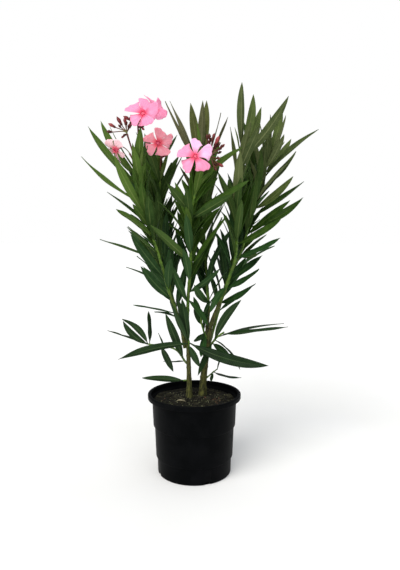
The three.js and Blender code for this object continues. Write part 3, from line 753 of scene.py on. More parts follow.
# Rounds of whorls: what each adds to a shoot's seed, where its first whorl sits, its leaves' share of the
# full length, its spacing, and the share of the shoot that it leaves bare. The first is the source's. The
# others go on by the same rule, with shorter leaves between the whorls, in the room that is left.
WHORL_ROUNDS = ((0, FIRST_WHORL, 1, WHORL_SPACING, 0), (1000, 0.1, 0.7, 28, 0.5), (2000, 0.35, 0.5, 34, 0.7))
for shift, first, share, spacing, start in WHORL_ROUNDS:
    for name, row in SHOOTS.items():
        if "seed" in row:
            grow_whorls(name, row, row["seed"] + shift, first, share, spacing, start)


# Meshes
UV_LENGTH = 100


def new_mesh(name, points, faces):
    mesh = bpy.data.meshes.new(name)
    mesh.from_pydata((np.asarray(points) * MM).tolist(), [], faces)
    return mesh


def new_object(name, data):
    made = bpy.data.objects.new(name, data)
    bpy.context.collection.objects.link(made)
    return made


class Heap:
    """The points, faces and marks of one piece, gathered from many small sheets and tubes."""

    def __init__(self):
        self.points, self.marks, self.tones, self.faces, self.slots = [], [], [], [], []
        self.count = 0

    def add(self, points, marks, faces, slots, tone):
        self.points.append(points)
        self.marks.append(marks)
        self.tones.append(np.broadcast_to(tone, len(points)))
        self.faces += [tuple(self.count + i for i in face) for face in faces]
        self.slots += list(np.broadcast_to(slots, len(faces)))
        self.count += len(points)

    def piece(self, name, materials, slot, *nodes):
        mesh = new_mesh(name, np.vstack(self.points), self.faces)
        corners = np.empty(len(mesh.loops), np.int32)
        mesh.loops.foreach_get("vertex_index", corners)
        uv = mesh.uv_layers.new(name="UVMap")
        uv.data.foreach_set("uv", np.vstack(self.marks)[corners].astype(np.float32).ravel())
        tone = mesh.attributes.new("tone", "FLOAT", "POINT")
        tone.data.foreach_set("value", np.concatenate(self.tones).astype(np.float32))
        mesh.polygons.foreach_set("material_index", np.array(self.slots, np.int32))
        mesh.polygons.foreach_set("use_smooth", np.ones(len(mesh.polygons), bool))
        for material in materials:
            mesh.materials.append(material)
        mesh.update()
        made = new_object(name, mesh)
        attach(made, "root")
        if nodes:
            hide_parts(*nodes)
        return made


def marks_over(across, along):
    """The places on the UV map of a grid of points."""
    return np.stack(np.meshgrid(across, along), axis=2).reshape(-1, 2)


def grid_faces(rows, cols, closed=False):
    """Four-sided faces over a grid of points, its columns joined round where it is closed."""
    faces = []
    for r in range(rows - 1):
        for c in range(cols if closed else cols - 1):
            follow = (c + 1) % cols
            a, b = r * cols, (r + 1) * cols
            faces.append((a + c, a + follow, b + follow, b + c))
    return faces


def turned_faces(rows, cols, foot, head):
    """The faces of a turned body, its first and last rings closed to a point each."""
    last = (rows - 1) * cols
    faces = grid_faces(rows, cols, closed=True)
    faces += [((c + 1) % cols, c, foot) for c in range(cols)]
    faces += [(last + c, last + (c + 1) % cols, head) for c in range(cols)]
    return faces


def sheet(heap, upper, lower, marks, slots, tone):
    """A thin closed sheet between two grids of points, with its rim sewn up."""
    rows, cols = upper.shape[:2]
    size = rows * cols
    top = [face[::-1] for face in grid_faces(rows, cols)]
    under = [tuple(size + i for i in reversed(face)) for face in top]
    border = [*range(cols), *range(2 * cols - 1, size, cols)]
    border += [*range(size - 2, size - cols - 1, -1), *range(size - 2 * cols, 0, -cols)]
    rim = [(b, size + b, size + a, a) for a, b in zip(border, border[1:] + border[:1])]
    points = np.vstack([upper.reshape(-1, 3), lower.reshape(-1, 3)])
    face_slots = [slots[0]] * len(top) + [slots[1]] * (len(under) + len(rim))
    heap.add(points, np.vstack([marks, marks]), top + under + rim, face_slots, tone)


def tube(heap, centres, ways, radii, sides, side, tone=0.5, ripple=None):
    """A closed round tube through centres, each ring square to its way."""
    turn = turns(sides)
    rings = []
    for k, (centre, way, radius) in enumerate(zip(centres, ways, radii)):
        across = unit(side - way * (side @ way))
        over = np.cross(way, across)
        reach = radius if ripple is None else radius + ripple[k]
        sideways, upward = (np.cos(turn) * reach)[:, None], (np.sin(turn) * reach)[:, None]
        rings.append(centre + sideways * across + upward * over)
        side = across
    rows = len(rings)
    marks = marks_over(np.arange(sides) / sides, run_of(centres) / UV_LENGTH)
    faces = grid_faces(rows, sides, closed=True)
    faces.append(tuple(reversed(range(sides))))
    faces.append(tuple(range((rows - 1) * sides, rows * sides)))
    heap.add(np.vstack(rings), marks, faces, 0, tone if np.isscalar(tone) else np.repeat(tone, sides))


# Leaves
LEAF_ACROSS = np.array([-1, -0.72, -0.38, 0, 0.38, 0.72, 1])
LEAF_MIDDLE = LEAF_ACROSS == 0
LEAF_ROWS = 16
LEAF_ALONG = np.linspace(0, 1, LEAF_ROWS) ** 0.95
LEAF_LEAN = 0.93
LEAF_FULLNESS = 2.3
LEAF_POINT = 0.92
LEAF_SHEET = 0.35
LEAF_TIP = 0.12
STALK_SHARE = 0.2
OPEN_SHARE = 0.35
TWIST_SEAT = 0.3
RIB = 0.55
RIB_AT_FOOT = 0.9
GROOVE = 0.35
EDGE_DROOP = 0.9
WAVES = 11


def leaf_outline(t):
    """The half width of a blade along it, from 0 to 1, narrow at the stalk and drawn out at the tip."""
    s = np.clip((t - NECK) / (1 - NECK), 0, 1)
    return np.clip(1 - np.abs(2 * s**LEAF_LEAN - 1) ** LEAF_FULLNESS, 0, 1) ** LEAF_POINT


def leaf_mesh(heap, leaf, width, fold, wave, twist, phase, tone):
    """One leaf, folded along its rib, drooping at its edges, waved and twisted."""
    t = LEAF_ALONG
    centre, way = bezier(leaf, t), bezier_way(leaf, t)
    half = np.maximum(leaf_outline(t) * width / 2, np.where(t < STALK_SHARE, PETIOLE / 2, LEAF_TIP))
    upper, lower = [], []
    for k in range(LEAF_ROWS):
        side = unit(leaf["side"] - way[k] * (leaf["side"] @ way[k]))
        side = turned(side, way[k], twist * (t[k] - TWIST_SEAT))
        above = np.cross(way[k], side)
        out = half[k] * LEAF_ACROSS
        opened = smooth(half[k] / (OPEN_SHARE * width / 2))
        rise = np.abs(out) * math.tan(math.radians(fold)) - EDGE_DROOP * (np.abs(LEAF_ACROSS) ** 3) * opened
        rise = rise + wave * LEAF_ACROSS**2 * np.sign(LEAF_ACROSS) * math.sin(phase + WAVES * t[k])
        groove = np.where(LEAF_MIDDLE, GROOVE * opened, 0)
        rib = np.where(LEAF_MIDDLE, RIB + RIB_AT_FOOT * (1 - t[k]), 0)
        line = centre[k] + out[:, None] * side
        upper.append(line + (rise - groove)[:, None] * above)
        lower.append(line + (rise - LEAF_SHEET - rib)[:, None] * above)
    sheet(heap, np.array(upper), np.array(lower), marks_over(0.5 + LEAF_ACROSS / 2, t), (0, 1), tone)


# Shoots with no greens given are the low ones under the crown. Their leaves all take darker greens as painted
# shade.
PAINTED_SHADE = ("painted_shade", "painted_shade", "painted_shade")
loose = loosely(numbers_from(4001))
leaf_heaps = {kind: Heap() for kind in ("painted_shade", "deep", "mid", "bright", "sage", "olive")}
leaf_nodes = {kind: set() for kind in leaf_heaps}
for leaf in leaves:
    greens = SHOOTS[leaf["shoot"]].get("greens", PAINTED_SHADE)
    kind = greens[min(2, max(0, int(leaf["along"] * 3 + loose(0.5))))]
    width = leaf_width(leaf["length"]) * (0.94 + loose(0.08))
    leaf_mesh(
        leaf_heaps[kind], leaf, width, fold=15 + loose(7), wave=0.5 + loose(0.4), twist=loose(24),
        phase=loose(3), tone=0.5 + loose(0.5),
    )
    leaf_nodes[kind].add(leaf["shoot"])

# Young leaves: a tuft of narrow bright ones at each long shoot's tip, inside the reach of the rest. The
# first stands nearest the tip, and the others are longer, wider and further apart.
TUFT_LEAVES = 7
TUFT_STEP = 0.012
TUFT_TURN = 137
LONG_SHOOT = 100
tufts = Heap()
tuft_shoots = [name for name in SHOOTS if shoots[name].length > LONG_SHOOT]
for name in tuft_shoots:
    for k in range(TUFT_LEAVES):
        bearing = TUFT_TURN * k + loose(20)
        spread = 6 + 3.4 * k + loose(4)
        length = 30 + 6.5 * k + loose(5)
        leaf = whorl_leaf(shoots[name], 1 - TUFT_STEP * k, bearing, spread, 3, length, loose(30))
        width = 4.2 + 0.9 * k
        leaf_mesh(tufts, leaf, width, fold=24, wave=0.2, twist=loose(20), phase=0, tone=0.5 + loose(0.4))

# Stems: round limbs with swollen joints where the whorls sit, bark ridges below and smooth green above.
STEM_STEP = 2.5
JOINT_SWELL = 0.1
JOINT_LENGTH = 2.4
JOINT_SPACING = 24
SCAR = 0.5
RIDGE = 0.18
RIDGE_RADIUS = 5
ROOT_OVERLAP = 6
TIP_OVERLAP = 2
SIDE_OVERLAP = 1
BARK_SIDES = 24
SHOOT_SIDES = 14
SHOOT_AGE = (0.48, 0.0)


def limb_mesh(heap, limb, row, sides, spacing, age, phase):
    """One limb with its joints, its age going from its foot to its tip. Its foot runs into what bears it."""
    along = np.linspace(0, 1, max(4, int(limb.length / STEM_STEP)) + 1)
    centres = np.array([limb.point(s) for s in along])
    ways = np.array([limb.direction(s) for s in along])
    radii = np.array([limb.radius(s) for s in along])
    count = max(1, round(limb.length / spacing))
    joints = [(k + FIRST_WHORL) / count for k in range(count)]
    turn = turns(sides)
    ripple = []
    for s, radius in zip(along, radii):
        near = [math.exp(-(((s - joint) * limb.length / JOINT_LENGTH) ** 2)) for joint in joints]
        swell = radius * JOINT_SWELL * sum(near)
        scars = sum(SCAR * n * np.clip(np.cos(turn * WHORL + k), 0, 1) for k, n in enumerate(near))
        ridges = np.sin(5 * turn + s * 9 + phase) + 0.6 * np.sin(9 * turn - s * 23 + 2 * phase)
        ripple.append(swell + scars + age[0] * RIDGE * ridges * radius / RIDGE_RADIUS)
    overlap = TIP_OVERLAP
    if "at" in row:
        overlap = limb.radii[0] + SIDE_OVERLAP
    elif "on" not in row:
        overlap = ROOT_OVERLAP
    centres[0] = centres[0] - ways[0] * overlap
    tube(heap, centres, ways, radii, sides, limb.side, between(age, along), ripple)


bark, stems = Heap(), Heap()
for order, (name, row) in enumerate(LIMBS.items()):
    limb_mesh(bark, limbs[name], row, BARK_SIDES, JOINT_SPACING, row["age"], order)
for order, (name, row) in enumerate(SHOOTS.items()):
    limb_mesh(stems, shoots[name], row, SHOOT_SIDES, WHORL_SPACING, SHOOT_AGE, order)

# Flower stalks: bent lines from the shoot to each head, and from the head to each flower and bud.
STALK_PULL = 0.3
STALK_SIDES = 9
STALK_SWELL_LENGTH = 0.08
flower_stalks = Heap()
for start, end, leaves_way, meets_way, radius in stalks:
    pull = np.linalg.norm(end - start) * STALK_PULL
    t = np.linspace(0, 1, 14)[:, None]
    a, b = start + leaves_way * pull, end - meets_way * pull
    line = (1 - t) ** 3 * start + 3 * t * (1 - t) ** 2 * a + 3 * t**2 * (1 - t) * b + t**3 * end
    ways = units(np.gradient(line, axis=0))
    t = t[:, 0]
    at_foot, at_end = (np.exp(-(way / STALK_SWELL_LENGTH) ** 2) for way in (t, 1 - t))
    swell = 1 + 0.35 * at_end + 0.3 * at_foot
    tube(flower_stalks, line, ways, radius * swell, STALK_SIDES, side_of(ways[0]), 0.45 + 0.55 * t)


# Flowers. A profile gives shares of the radius at shares of the length.
BUD_PROFILE = ((0, 0.4), (0.1, 0.55), (0.35, 0.82), (0.55, 1), (0.75, 0.74), (0.9, 0.34), (1, 0.04))
FUNNEL_PROFILE = ((0, 0.36), (0.3, 0.42), (0.5, 0.55), (0.75, 0.82), (1, 1))
SMALLEST_RADIUS = 0.08


def spindle(heap, base, direction, length, radius, profile, ridges, sides=12, spiral=0, tone=0.5):
    """A turned body along a direction, its ridges winding round it."""
    t = np.linspace(0, 1, 15)
    shape = np.interp(t, *zip(*profile)) * radius
    ripple = [ridges * s * np.cos(PETALS * turns(sides) + spiral * a) for s, a in zip(shape, t)]
    centres = base + t[:, None] * direction * length
    ways = np.repeat([direction], len(t), axis=0)
    tube(heap, centres, ways, np.maximum(shape, SMALLEST_RADIUS), sides, side_of(direction), tone, ripple)


THREE_ACROSS = np.array([-1, 0, 1])
STRIP_SHEET = 0.3
SEPAL_CURVE = 0.25
SEPAL_HALF = 1.25
TOOTH_HALF = 0.75
TOOTH_LENGTH = 6.2


def strip(centre, half, across):
    """Three points across at each place along a narrow pointed strip."""
    return centre[:, None] + half[:, None, None] * THREE_ACROSS[None, :, None] * across


def sepals(heap, base, direction, radius, length, open_angle, tone):
    """Five narrow pointed sepals around a base."""
    lean = math.radians(open_angle)
    t = np.linspace(0, 1, 6)
    half = SEPAL_HALF * (1 - t**1.6) + 0.05
    marks = marks_over(0.5 + THREE_ACROSS / 2, t)
    for ray in rays(direction, side_of(direction)):
        way = direction * math.cos(lean) + ray * math.sin(lean)
        across = np.cross(direction, ray)
        above = np.cross(across, way)
        points = strip(base + ray * radius + t[:, None] * way * length, half, across)
        points = points - SEPAL_CURVE * (THREE_ACROSS**2)[None, :, None] * above
        sheet(heap, points, points + STRIP_SHEET * above, marks, (0, 0), tone)


def fringe(heap, mouth, facing, ray, tone):
    """The toothed flap that stands in the throat before each petal."""
    across = np.cross(facing, ray)
    t = np.linspace(0, 1, 5)
    half = TOOTH_HALF * (1 - t**1.5) + 0.1
    marks = marks_over(0.5 + THREE_ACROSS / 2, t * 0.2)
    for tooth in (-1, 0, 1):
        way = unit(facing + ray * 0.35 + across * tooth * 0.3)
        foot = mouth - facing * 1.5 + ray * 3 + across * tooth * 1.5
        points = strip(foot + t[:, None] * way * (TOOTH_LENGTH - abs(tooth)), half, across)
        under = points - STRIP_SHEET * unit(np.cross(way, across))
        sheet(heap, points, under, marks, (0, 0), tone)


PETAL_ROWS = 15
PETAL_ACROSS = np.linspace(-1, 1, 11)
PETAL_SHEET = 0.35
PETAL_DEPTH = 2.2
PETAL_LIFT = 3.4
PETAL_LEAN = 0.1
CLAW_LENGTH = 0.1
CLAW_WIDTH = 0.2
WIDEST_AT = 0.84
ROUND_FROM = 0.78
ROUND_OVER = 0.28
CURL_FROM = 0.45
EDGE_WAVES = 4.4


def petal_mesh(heap, mouth, facing, ray, width, share, tone):
    """One petal: narrow in the throat, broad outside, its end cut aslant, with a soft wavy edge."""
    reach = width / 2
    breadth = reach * (share + loose(0.05))
    across = rolled(np.cross(facing, ray), ray, PETAL_TWIST)
    above = np.cross(ray, across)
    t = np.linspace(0, 1, PETAL_ROWS)
    cup, curl, wave, phase = 0.2 + loose(0.1), 0.24 + loose(0.2), 1.3 + loose(0.6), loose(3)
    ray = unit(ray + 0.1 * loose(1) * np.cross(facing, ray) + facing * loose(0.12))
    upper = []
    for s in t:
        # Along: out from a narrow claw, leaning to one side, up out of the throat and curling back.
        out = reach * between((CLAW_LENGTH, 1), s)
        rounded_off = math.sqrt(1 - max(0, (s - ROUND_FROM) / ROUND_OVER) ** 2)
        half = breadth * between((CLAW_WIDTH, 1), min(1, s / WIDEST_AT) ** 1.15) * rounded_off
        lean = reach * PETAL_LEAN * math.sin(math.pi * s * 0.8)
        curled = reach * curl * max(0, s - CURL_FROM) ** 1.6
        rise = PETAL_LIFT * math.sin(math.pi * min(1, s * 1.25) * 0.5) - curled
        # Across: cupped near the throat, waved at the edges and cut aslant at the end.
        bow = cup * half * PETAL_ACROSS**2 * (1 - 0.8 * s)
        edge = wave * s**2 * np.sin(phase + EDGE_WAVES * PETAL_ACROSS) * np.abs(PETAL_ACROSS)
        slant = 0.11 * PETAL_ACROSS - 0.05 * PETAL_ACROSS**2 + 0.025 * np.sin(6 * PETAL_ACROSS + phase)
        crown = reach * slant * smooth((s - 0.5) / 0.5)
        line = mouth - facing * PETAL_DEPTH + facing * rise + ray * out
        line = line + (half * PETAL_ACROSS + lean)[:, None] * across
        upper.append(line + (bow + edge)[:, None] * above + crown[:, None] * ray)
    upper = np.array(upper)
    sheet(heap, upper, upper - PETAL_SHEET * above, marks_over(0.5 + PETAL_ACROSS / 2, t), (0, 0), tone)


BUD_THICKNESS = 1.2
YOUNG_THICKNESS = 1.1
THICKNESS_PER_LENGTH = 0.13
SEPAL_LENGTH = 6.5
SEPAL_SPREAD = 14
FUNNEL_SHORT = 1.5
bud_heap, calyx_heap, throat_heap = Heap(), Heap(), Heap()
for base, direction, length in buds:
    thick = BUD_THICKNESS + length * THICKNESS_PER_LENGTH
    spindle(bud_heap, base, direction, length, thick, BUD_PROFILE, 0.1, spiral=4, tone=0.5 + loose(0.5))
    sepals(calyx_heap, base, direction, thick * 0.5, min(6, 0.4 * length), 8, 0.5 + loose(0.3))
for base, direction, length in young_buds:
    thick = YOUNG_THICKNESS + length * THICKNESS_PER_LENGTH
    spindle(calyx_heap, base, direction, length, thick, BUD_PROFILE, 0.15, tone=0.5 + loose(0.5))
    sepals(calyx_heap, base, direction, thick * 0.6, 0.6 * length, 16, 0.5 + loose(0.3))

# How broad each kind's petals are, half a petal to its length. One flower has petals of two kinds.
PETAL_SHARES = {"rose": 0.62, "salmon": 0.56, "lilac": 0.5, "blush": 0.44}
TWO_TONE = (("lilac", 0.42), ("rose", 0.62), ("rose", 0.52), ("rose", 0.52), ("lilac", 0.5))
petal_heaps = {kind: Heap() for kind in PETAL_SHARES}
for mouth, facing, width, spin, colour in flowers:
    base = mouth - facing * THROAT_LENGTH
    depth = THROAT_LENGTH - FUNNEL_SHORT
    spindle(throat_heap, base, facing, depth, THROAT_RADIUS, FUNNEL_PROFILE, 0.05, sides=20)
    sepals(calyx_heap, base, facing, CALYX_RADIUS, SEPAL_LENGTH, SEPAL_SPREAD, 0.5 + loose(0.3))
    start = turned(side_of(facing), facing, spin)
    for k, ray in enumerate(rays(facing, start)):
        kind, share = TWO_TONE[k] if colour == "two_tone" else (colour, PETAL_SHARES[colour])
        petal_mesh(petal_heaps[kind], mouth, facing, ray, width, share, 0.5 + loose(0.5))
        fringe(petal_heaps["rose"], mouth, facing, ray, 1.0)


# Pot: its outline goes up the outside, round the hollow lip and down the inside.
FOOT_HOLLOW = 1.2
INNER_WALL = WALL_TOP_RADIUS - SHELL
LIP_INNER = RIM_RADIUS - LIP_WIDTH
UNDER_LIP = POT_HEIGHT - LIP_DEPTH
LOWER_LEDGE = (LOWER_WALL_RADIUS + STEP, LOWER_STEP_Z + STEP_RISE)
UPPER_LEDGE = (UPPER_WALL_RADIUS + STEP, UPPER_STEP_Z + STEP_RISE)
POT_OUTLINE = (
    (0, FOOT_HOLLOW, 0), (BASE_RADIUS - 11, FOOT_HOLLOW, 0.8),
    (BASE_RADIUS - 9.5, 0, 0.8), (BASE_RADIUS, 0, 3.2),
    (LOWER_WALL_RADIUS, LOWER_STEP_Z, 0.9), (*LOWER_LEDGE, 0.9),
    (UPPER_WALL_RADIUS, UPPER_STEP_Z, 0.9), (*UPPER_LEDGE, 0.9),
    (WALL_TOP_RADIUS, UNDER_LIP - 4, 1), (LIP_INNER + SHELL, UNDER_LIP, 1),
    (LIP_INNER + SHELL, POT_HEIGHT - SHELL, 0.8), (RIM_RADIUS - SHELL, POT_HEIGHT - SHELL, 0.8),
    (RIM_RADIUS - SHELL, UNDER_LIP, 0.5), (RIM_RADIUS, UNDER_LIP, 0.5), (RIM_RADIUS, POT_HEIGHT, 2),
    (LIP_INNER, POT_HEIGHT, 2.4), (LIP_INNER, UNDER_LIP, 2), (INNER_WALL, UNDER_LIP - 5, 1.5),
    (UPPER_LEDGE[0] - SHELL, UPPER_LEDGE[1], 0.9), (UPPER_WALL_RADIUS - SHELL, UPPER_STEP_Z, 0.9),
    (LOWER_LEDGE[0] - SHELL, LOWER_LEDGE[1], 0.9), (LOWER_WALL_RADIUS - SHELL, LOWER_STEP_Z, 0.9),
    (BASE_RADIUS - SHELL, 5, 2), (BASE_RADIUS - 5.7, SHELL, 1), (0, SHELL, 0),
)
FILLET_POINTS = 5
FILLET_LIMIT = 0.45


def rounded(corners):
    """An outline through corners of radius, height and fillet, each corner turned by its fillet."""
    points = []
    for k, (r, z, fillet) in enumerate(corners):
        here = np.array([r, z])
        if not fillet:
            points.append(here)
            continue
        before, after = (np.array(corners[k + step][:2]) - here for step in (-1, 1))
        cut = min(fillet, np.linalg.norm(before) * FILLET_LIMIT, np.linalg.norm(after) * FILLET_LIMIT)
        start, end = here + unit(before) * cut, here + unit(after) * cut
        for t in np.linspace(0, 1, FILLET_POINTS):
            points.append((1 - t) ** 2 * start + 2 * t * (1 - t) * here + t * t * end)
    return np.array(points)


def lathe(heap, outline, segments):
    """A closed turned body from an outline that starts and ends on the axis."""
    turn = turns(segments)
    inner = outline[1:-1]
    r, z = inner[:, 0], inner[:, 1]
    points = np.stack([
        np.outer(r, np.cos(turn)), np.outer(r, np.sin(turn)), np.repeat(z[:, None], segments, axis=1)
    ], axis=2).reshape(-1, 3)
    ends = np.array([[0, 0, outline[0][1]], [0, 0, outline[-1][1]]])
    run = run_of(inner) / UV_LENGTH
    marks = np.vstack([marks_over(turn / 2 / math.pi, run), [[0.5, 0], [0.5, run[-1]]]])
    faces = turned_faces(len(inner), segments, len(points), len(points) + 1)
    heap.add(np.vstack([points, ends]), marks, faces, 0, 0.5)


# The drainage notches are arched blocks at the foot, cut out of the wall.
ARCH_RISE = 2
ARCH_START = 0.25
ARCH_POINTS = 7
NOTCH_REACH = (BASE_RADIUS - 3.5, BASE_RADIUS + 5.5)
NOTCH_BELOW = 3


def notch_blocks():
    half, spring = NOTCH_WIDTH / 2, NOTCH_HEIGHT - ARCH_RISE
    arch = [(-half, -NOTCH_BELOW), (half, -NOTCH_BELOW), (half, spring)]
    for a in np.linspace(ARCH_START, math.pi - ARCH_START, ARCH_POINTS):
        arch.append((half * math.cos(a), spring + ARCH_RISE * math.sin(a)))
    arch.append((-half, spring))
    size = len(arch)
    points, faces = [], []
    for k in range(NOTCHES):
        base = len(points)
        out = towards(NOTCH_BEARING + k * 360 / NOTCHES, 0)
        across = np.cross(UP, out)
        points += [out * depth + across * w + UP * h for depth in NOTCH_REACH for w, h in arch]
        block = [(c, (c + 1) % size, size + (c + 1) % size, size + c) for c in range(size)]
        block += [tuple(reversed(range(size))), tuple(range(size, 2 * size))]
        faces += [tuple(base + i for i in face) for face in block]
    return points, faces


def cut_notches(pot):
    cutter = new_object("notches", new_mesh("notches", *notch_blocks()))
    cut = pot.modifiers.new("Notches", "BOOLEAN")
    cut.operation, cut.solver, cut.object = "DIFFERENCE", "EXACT", cutter
    bpy.context.view_layer.update()
    notched = bpy.data.meshes.new_from_object(pot.evaluated_get(bpy.context.evaluated_depsgraph_get()))
    pot.modifiers.remove(cut)
    pot.data = notched
    bpy.data.objects.remove(cutter)
    for face in notched.polygons:
        face.use_smooth = True


pot_heap = Heap()
lathe(pot_heap, rounded(POT_OUTLINE), POT_SEGMENTS)

# Soil: an uneven top with a body below it, and loose bits that lie in it.
SOIL_RINGS, SOIL_SEGMENTS = 58, 168
SOIL_ROUGH = 0.55
SOIL_SIDE_Z = UPPER_STEP_Z + 8
SOIL_FOOT_Z = SHELL + 0.5
SIDE_TAPER, FOOT_TAPER = 0.97, 0.82
HOLLOW_DEPTH = 1.2
HUMP_COUNT = 130
HUMP_REACH, HUMP_RISE = 80, 1.6
HUMP_SIZES = (6, 22)
MOUND_HEIGHT, MOUND_WIDTH = 1.6, 18
STEM_FEET = [LIMBS[name]["route"][0][:2] for name in ("trunk_left", "trunk_right")]
soil_draws = numbers_from(5003)
stray = loosely(soil_draws)
HUMPS = [
    (stray(HUMP_REACH), stray(HUMP_REACH), between(HUMP_SIZES, next(soil_draws)), stray(HUMP_RISE))
    for _ in range(HUMP_COUNT)
]


def soil_height(x, y):
    """The height of the soil's top: small humps, and a little higher round the stems."""
    height = np.full_like(x, SOIL_TOP - HOLLOW_DEPTH, dtype=float)
    for hx, hy, size, rise in HUMPS:
        height += rise * np.exp(-((x - hx) ** 2 + (y - hy) ** 2) / size**2)
    for sx, sy in STEM_FEET:
        height += MOUND_HEIGHT * np.exp(-((x - sx) ** 2 + (y - sy) ** 2) / MOUND_WIDTH**2)
    return height


def soil_plug(heap):
    turn = turns(SOIL_SEGMENTS)
    radius = SOIL_RADIUS * np.linspace(1, 1 / SOIL_RINGS, SOIL_RINGS)
    x, y = np.outer(radius, np.cos(turn)), np.outer(radius, np.sin(turn))
    rough = np.array([[stray(SOIL_ROUGH) for _ in turn] for _ in radius])
    top = np.stack([x, y, soil_height(x, y) + rough], axis=2)
    side = top[0] * [SIDE_TAPER, SIDE_TAPER, 0] + [0, 0, SOIL_SIDE_Z]
    foot = top[0] * [FOOT_TAPER, FOOT_TAPER, 0] + [0, 0, SOIL_FOOT_Z]
    ends = [[0, 0, SOIL_FOOT_Z], [0, 0, top[-1, :, 2].mean()]]
    points = np.vstack([foot, side, top.reshape(-1, 3), ends])
    faces = turned_faces(SOIL_RINGS + 2, SOIL_SEGMENTS, len(points) - 2, len(points) - 1)
    heap.add(points, points[:, :2] / UV_LENGTH, faces, 0, 0.5)


def ball_shape(cuts):
    """The points and faces of a ball of small triangles."""
    maker = bpy.data.meshes.new("ball")
    made = bmesh.new()
    bmesh.ops.create_icosphere(made, subdivisions=cuts, radius=1)
    made.to_mesh(maker)
    made.free()
    points = np.array([v.co[:] for v in maker.vertices])
    faces = [tuple(p.vertices) for p in maker.polygons]
    bpy.data.meshes.remove(maker)
    return points, faces


BALL, BALL_FACES = ball_shape(2)
BALL_HUMPS = 7
CRUMB_UV = 20
CRUMB_TILT = 30
STEM_ROOM = 9


def crumb(heap, middle, size, stretch, rough, tone):
    """An uneven lump about its middle."""
    humps = [(unit(np.array([stray(1), stray(1), stray(1)])), stray(rough)) for _ in range(BALL_HUMPS)]
    radius = 1 + sum(rise * np.clip(BALL @ way, 0, 1) ** 3 for way, rise in humps)
    shape = BALL * radius[:, None] * np.array(stretch) * size
    tilt = turned(UP, unit(np.array([stray(1), stray(1), 0.01])), stray(CRUMB_TILT))
    side = unit(np.cross(tilt, turned(EAST, UP, stray(180))))
    over = np.cross(tilt, side)
    points = middle + shape[:, :1] * side + shape[:, 1:2] * over + shape[:, 2:] * tilt
    heap.add(points, points[:, :2] / CRUMB_UV, BALL_FACES, 0, tone)


def scatter(heap, count, sizes, stretch, rough, sink, within=(0, 0, SOIL_RADIUS)):
    """Bits strewn over the soil or within a part of it, clear of the stems' feet."""
    made = 0
    while made < count:
        spot = np.array([stray(SOIL_RADIUS), stray(SOIL_RADIUS)])
        size = between(sizes, next(soil_draws) ** 2)
        spot = np.array(within[:2]) + spot * within[2] / SOIL_RADIUS
        if np.hypot(*spot) > SOIL_RADIUS - size - 1:
            continue
        if any(np.hypot(*(spot - foot)) < STEM_ROOM + size for foot in STEM_FEET):
            continue
        flat = stretch[2] * (0.7 + 0.6 * next(soil_draws))
        long, broad = (side * (0.75 + 0.5 * next(soil_draws)) for side in stretch[:2])
        height = float(soil_height(spot[:1], spot[1:])[0]) + size * flat * (1 - 2 * sink)
        crumb(heap, np.array([*spot, height]), size, (long, broad, flat), rough, next(soil_draws))
        made += 1


soil_heap, clods, chips, grains, husks = Heap(), Heap(), Heap(), Heap(), Heap()
soil_plug(soil_heap)
scatter(clods, 420, (1.2, 4.6), (1, 1, 0.7), 0.35, 0.5)
scatter(chips, 130, (1.8, 6.5), (1.5, 0.8, 0.3), 0.3, 0.4)
scatter(grains, 190, (0.3, 0.9), (1, 1, 0.9), 0.25, 0.3)
scatter(grains, 240, (0.35, 1.1), (1.3, 0.7, 0.8), 0.25, 0.3, within=(-2, 0, 50))
scatter(husks, 16, (1.2, 2.6), (1.2, 0.7, 0.5), 0.3, 0.3, within=(34, -12, 20))
scatter(husks, 10, (1, 2.2), (1.2, 0.7, 0.5), 0.3, 0.3)

# A curl of pale bark that lies on the soil in front of the stems.
CURL_PLACE = (-26, -18)
CURL_RADII = (9, 7.2)
CURL_TURN = (190, 350)
CURL_ROWS = 18
CURL_SIDES = 8
CURL_THICKNESS = 1.7
CURL_LIFT = 0.9
CURL_ARCH = 4.5
TAPER_START = 0.35


def bark_curl(heap):
    turn = np.radians(np.linspace(*CURL_TURN, CURL_ROWS))
    x = CURL_PLACE[0] + CURL_RADII[0] * np.cos(turn)
    y = CURL_PLACE[1] + CURL_RADII[1] * np.sin(turn)
    arch = CURL_ARCH * np.sin(np.linspace(0, math.pi, CURL_ROWS))
    line = np.stack([x, y, soil_height(x, y) + CURL_LIFT + arch], axis=1)
    taper = np.sin(np.linspace(TAPER_START, math.pi - TAPER_START, CURL_ROWS)) ** 0.5
    tube(heap, line, units(np.gradient(line, axis=0)), CURL_THICKNESS * taper, CURL_SIDES, UP)


curls = Heap()
bark_curl(curls)


# Materials. Colours are given as seen on a screen: red, green and blue from 0 to 255.
def srgb(red, green, blue):
    """A colour as seen on a screen, as the light it stands for."""
    light = [c / 255 / 12.92 if c <= 10 else ((c / 255 + 0.055) / 1.055) ** 2.4 for c in (red, green, blue)]
    return (*light, 1)


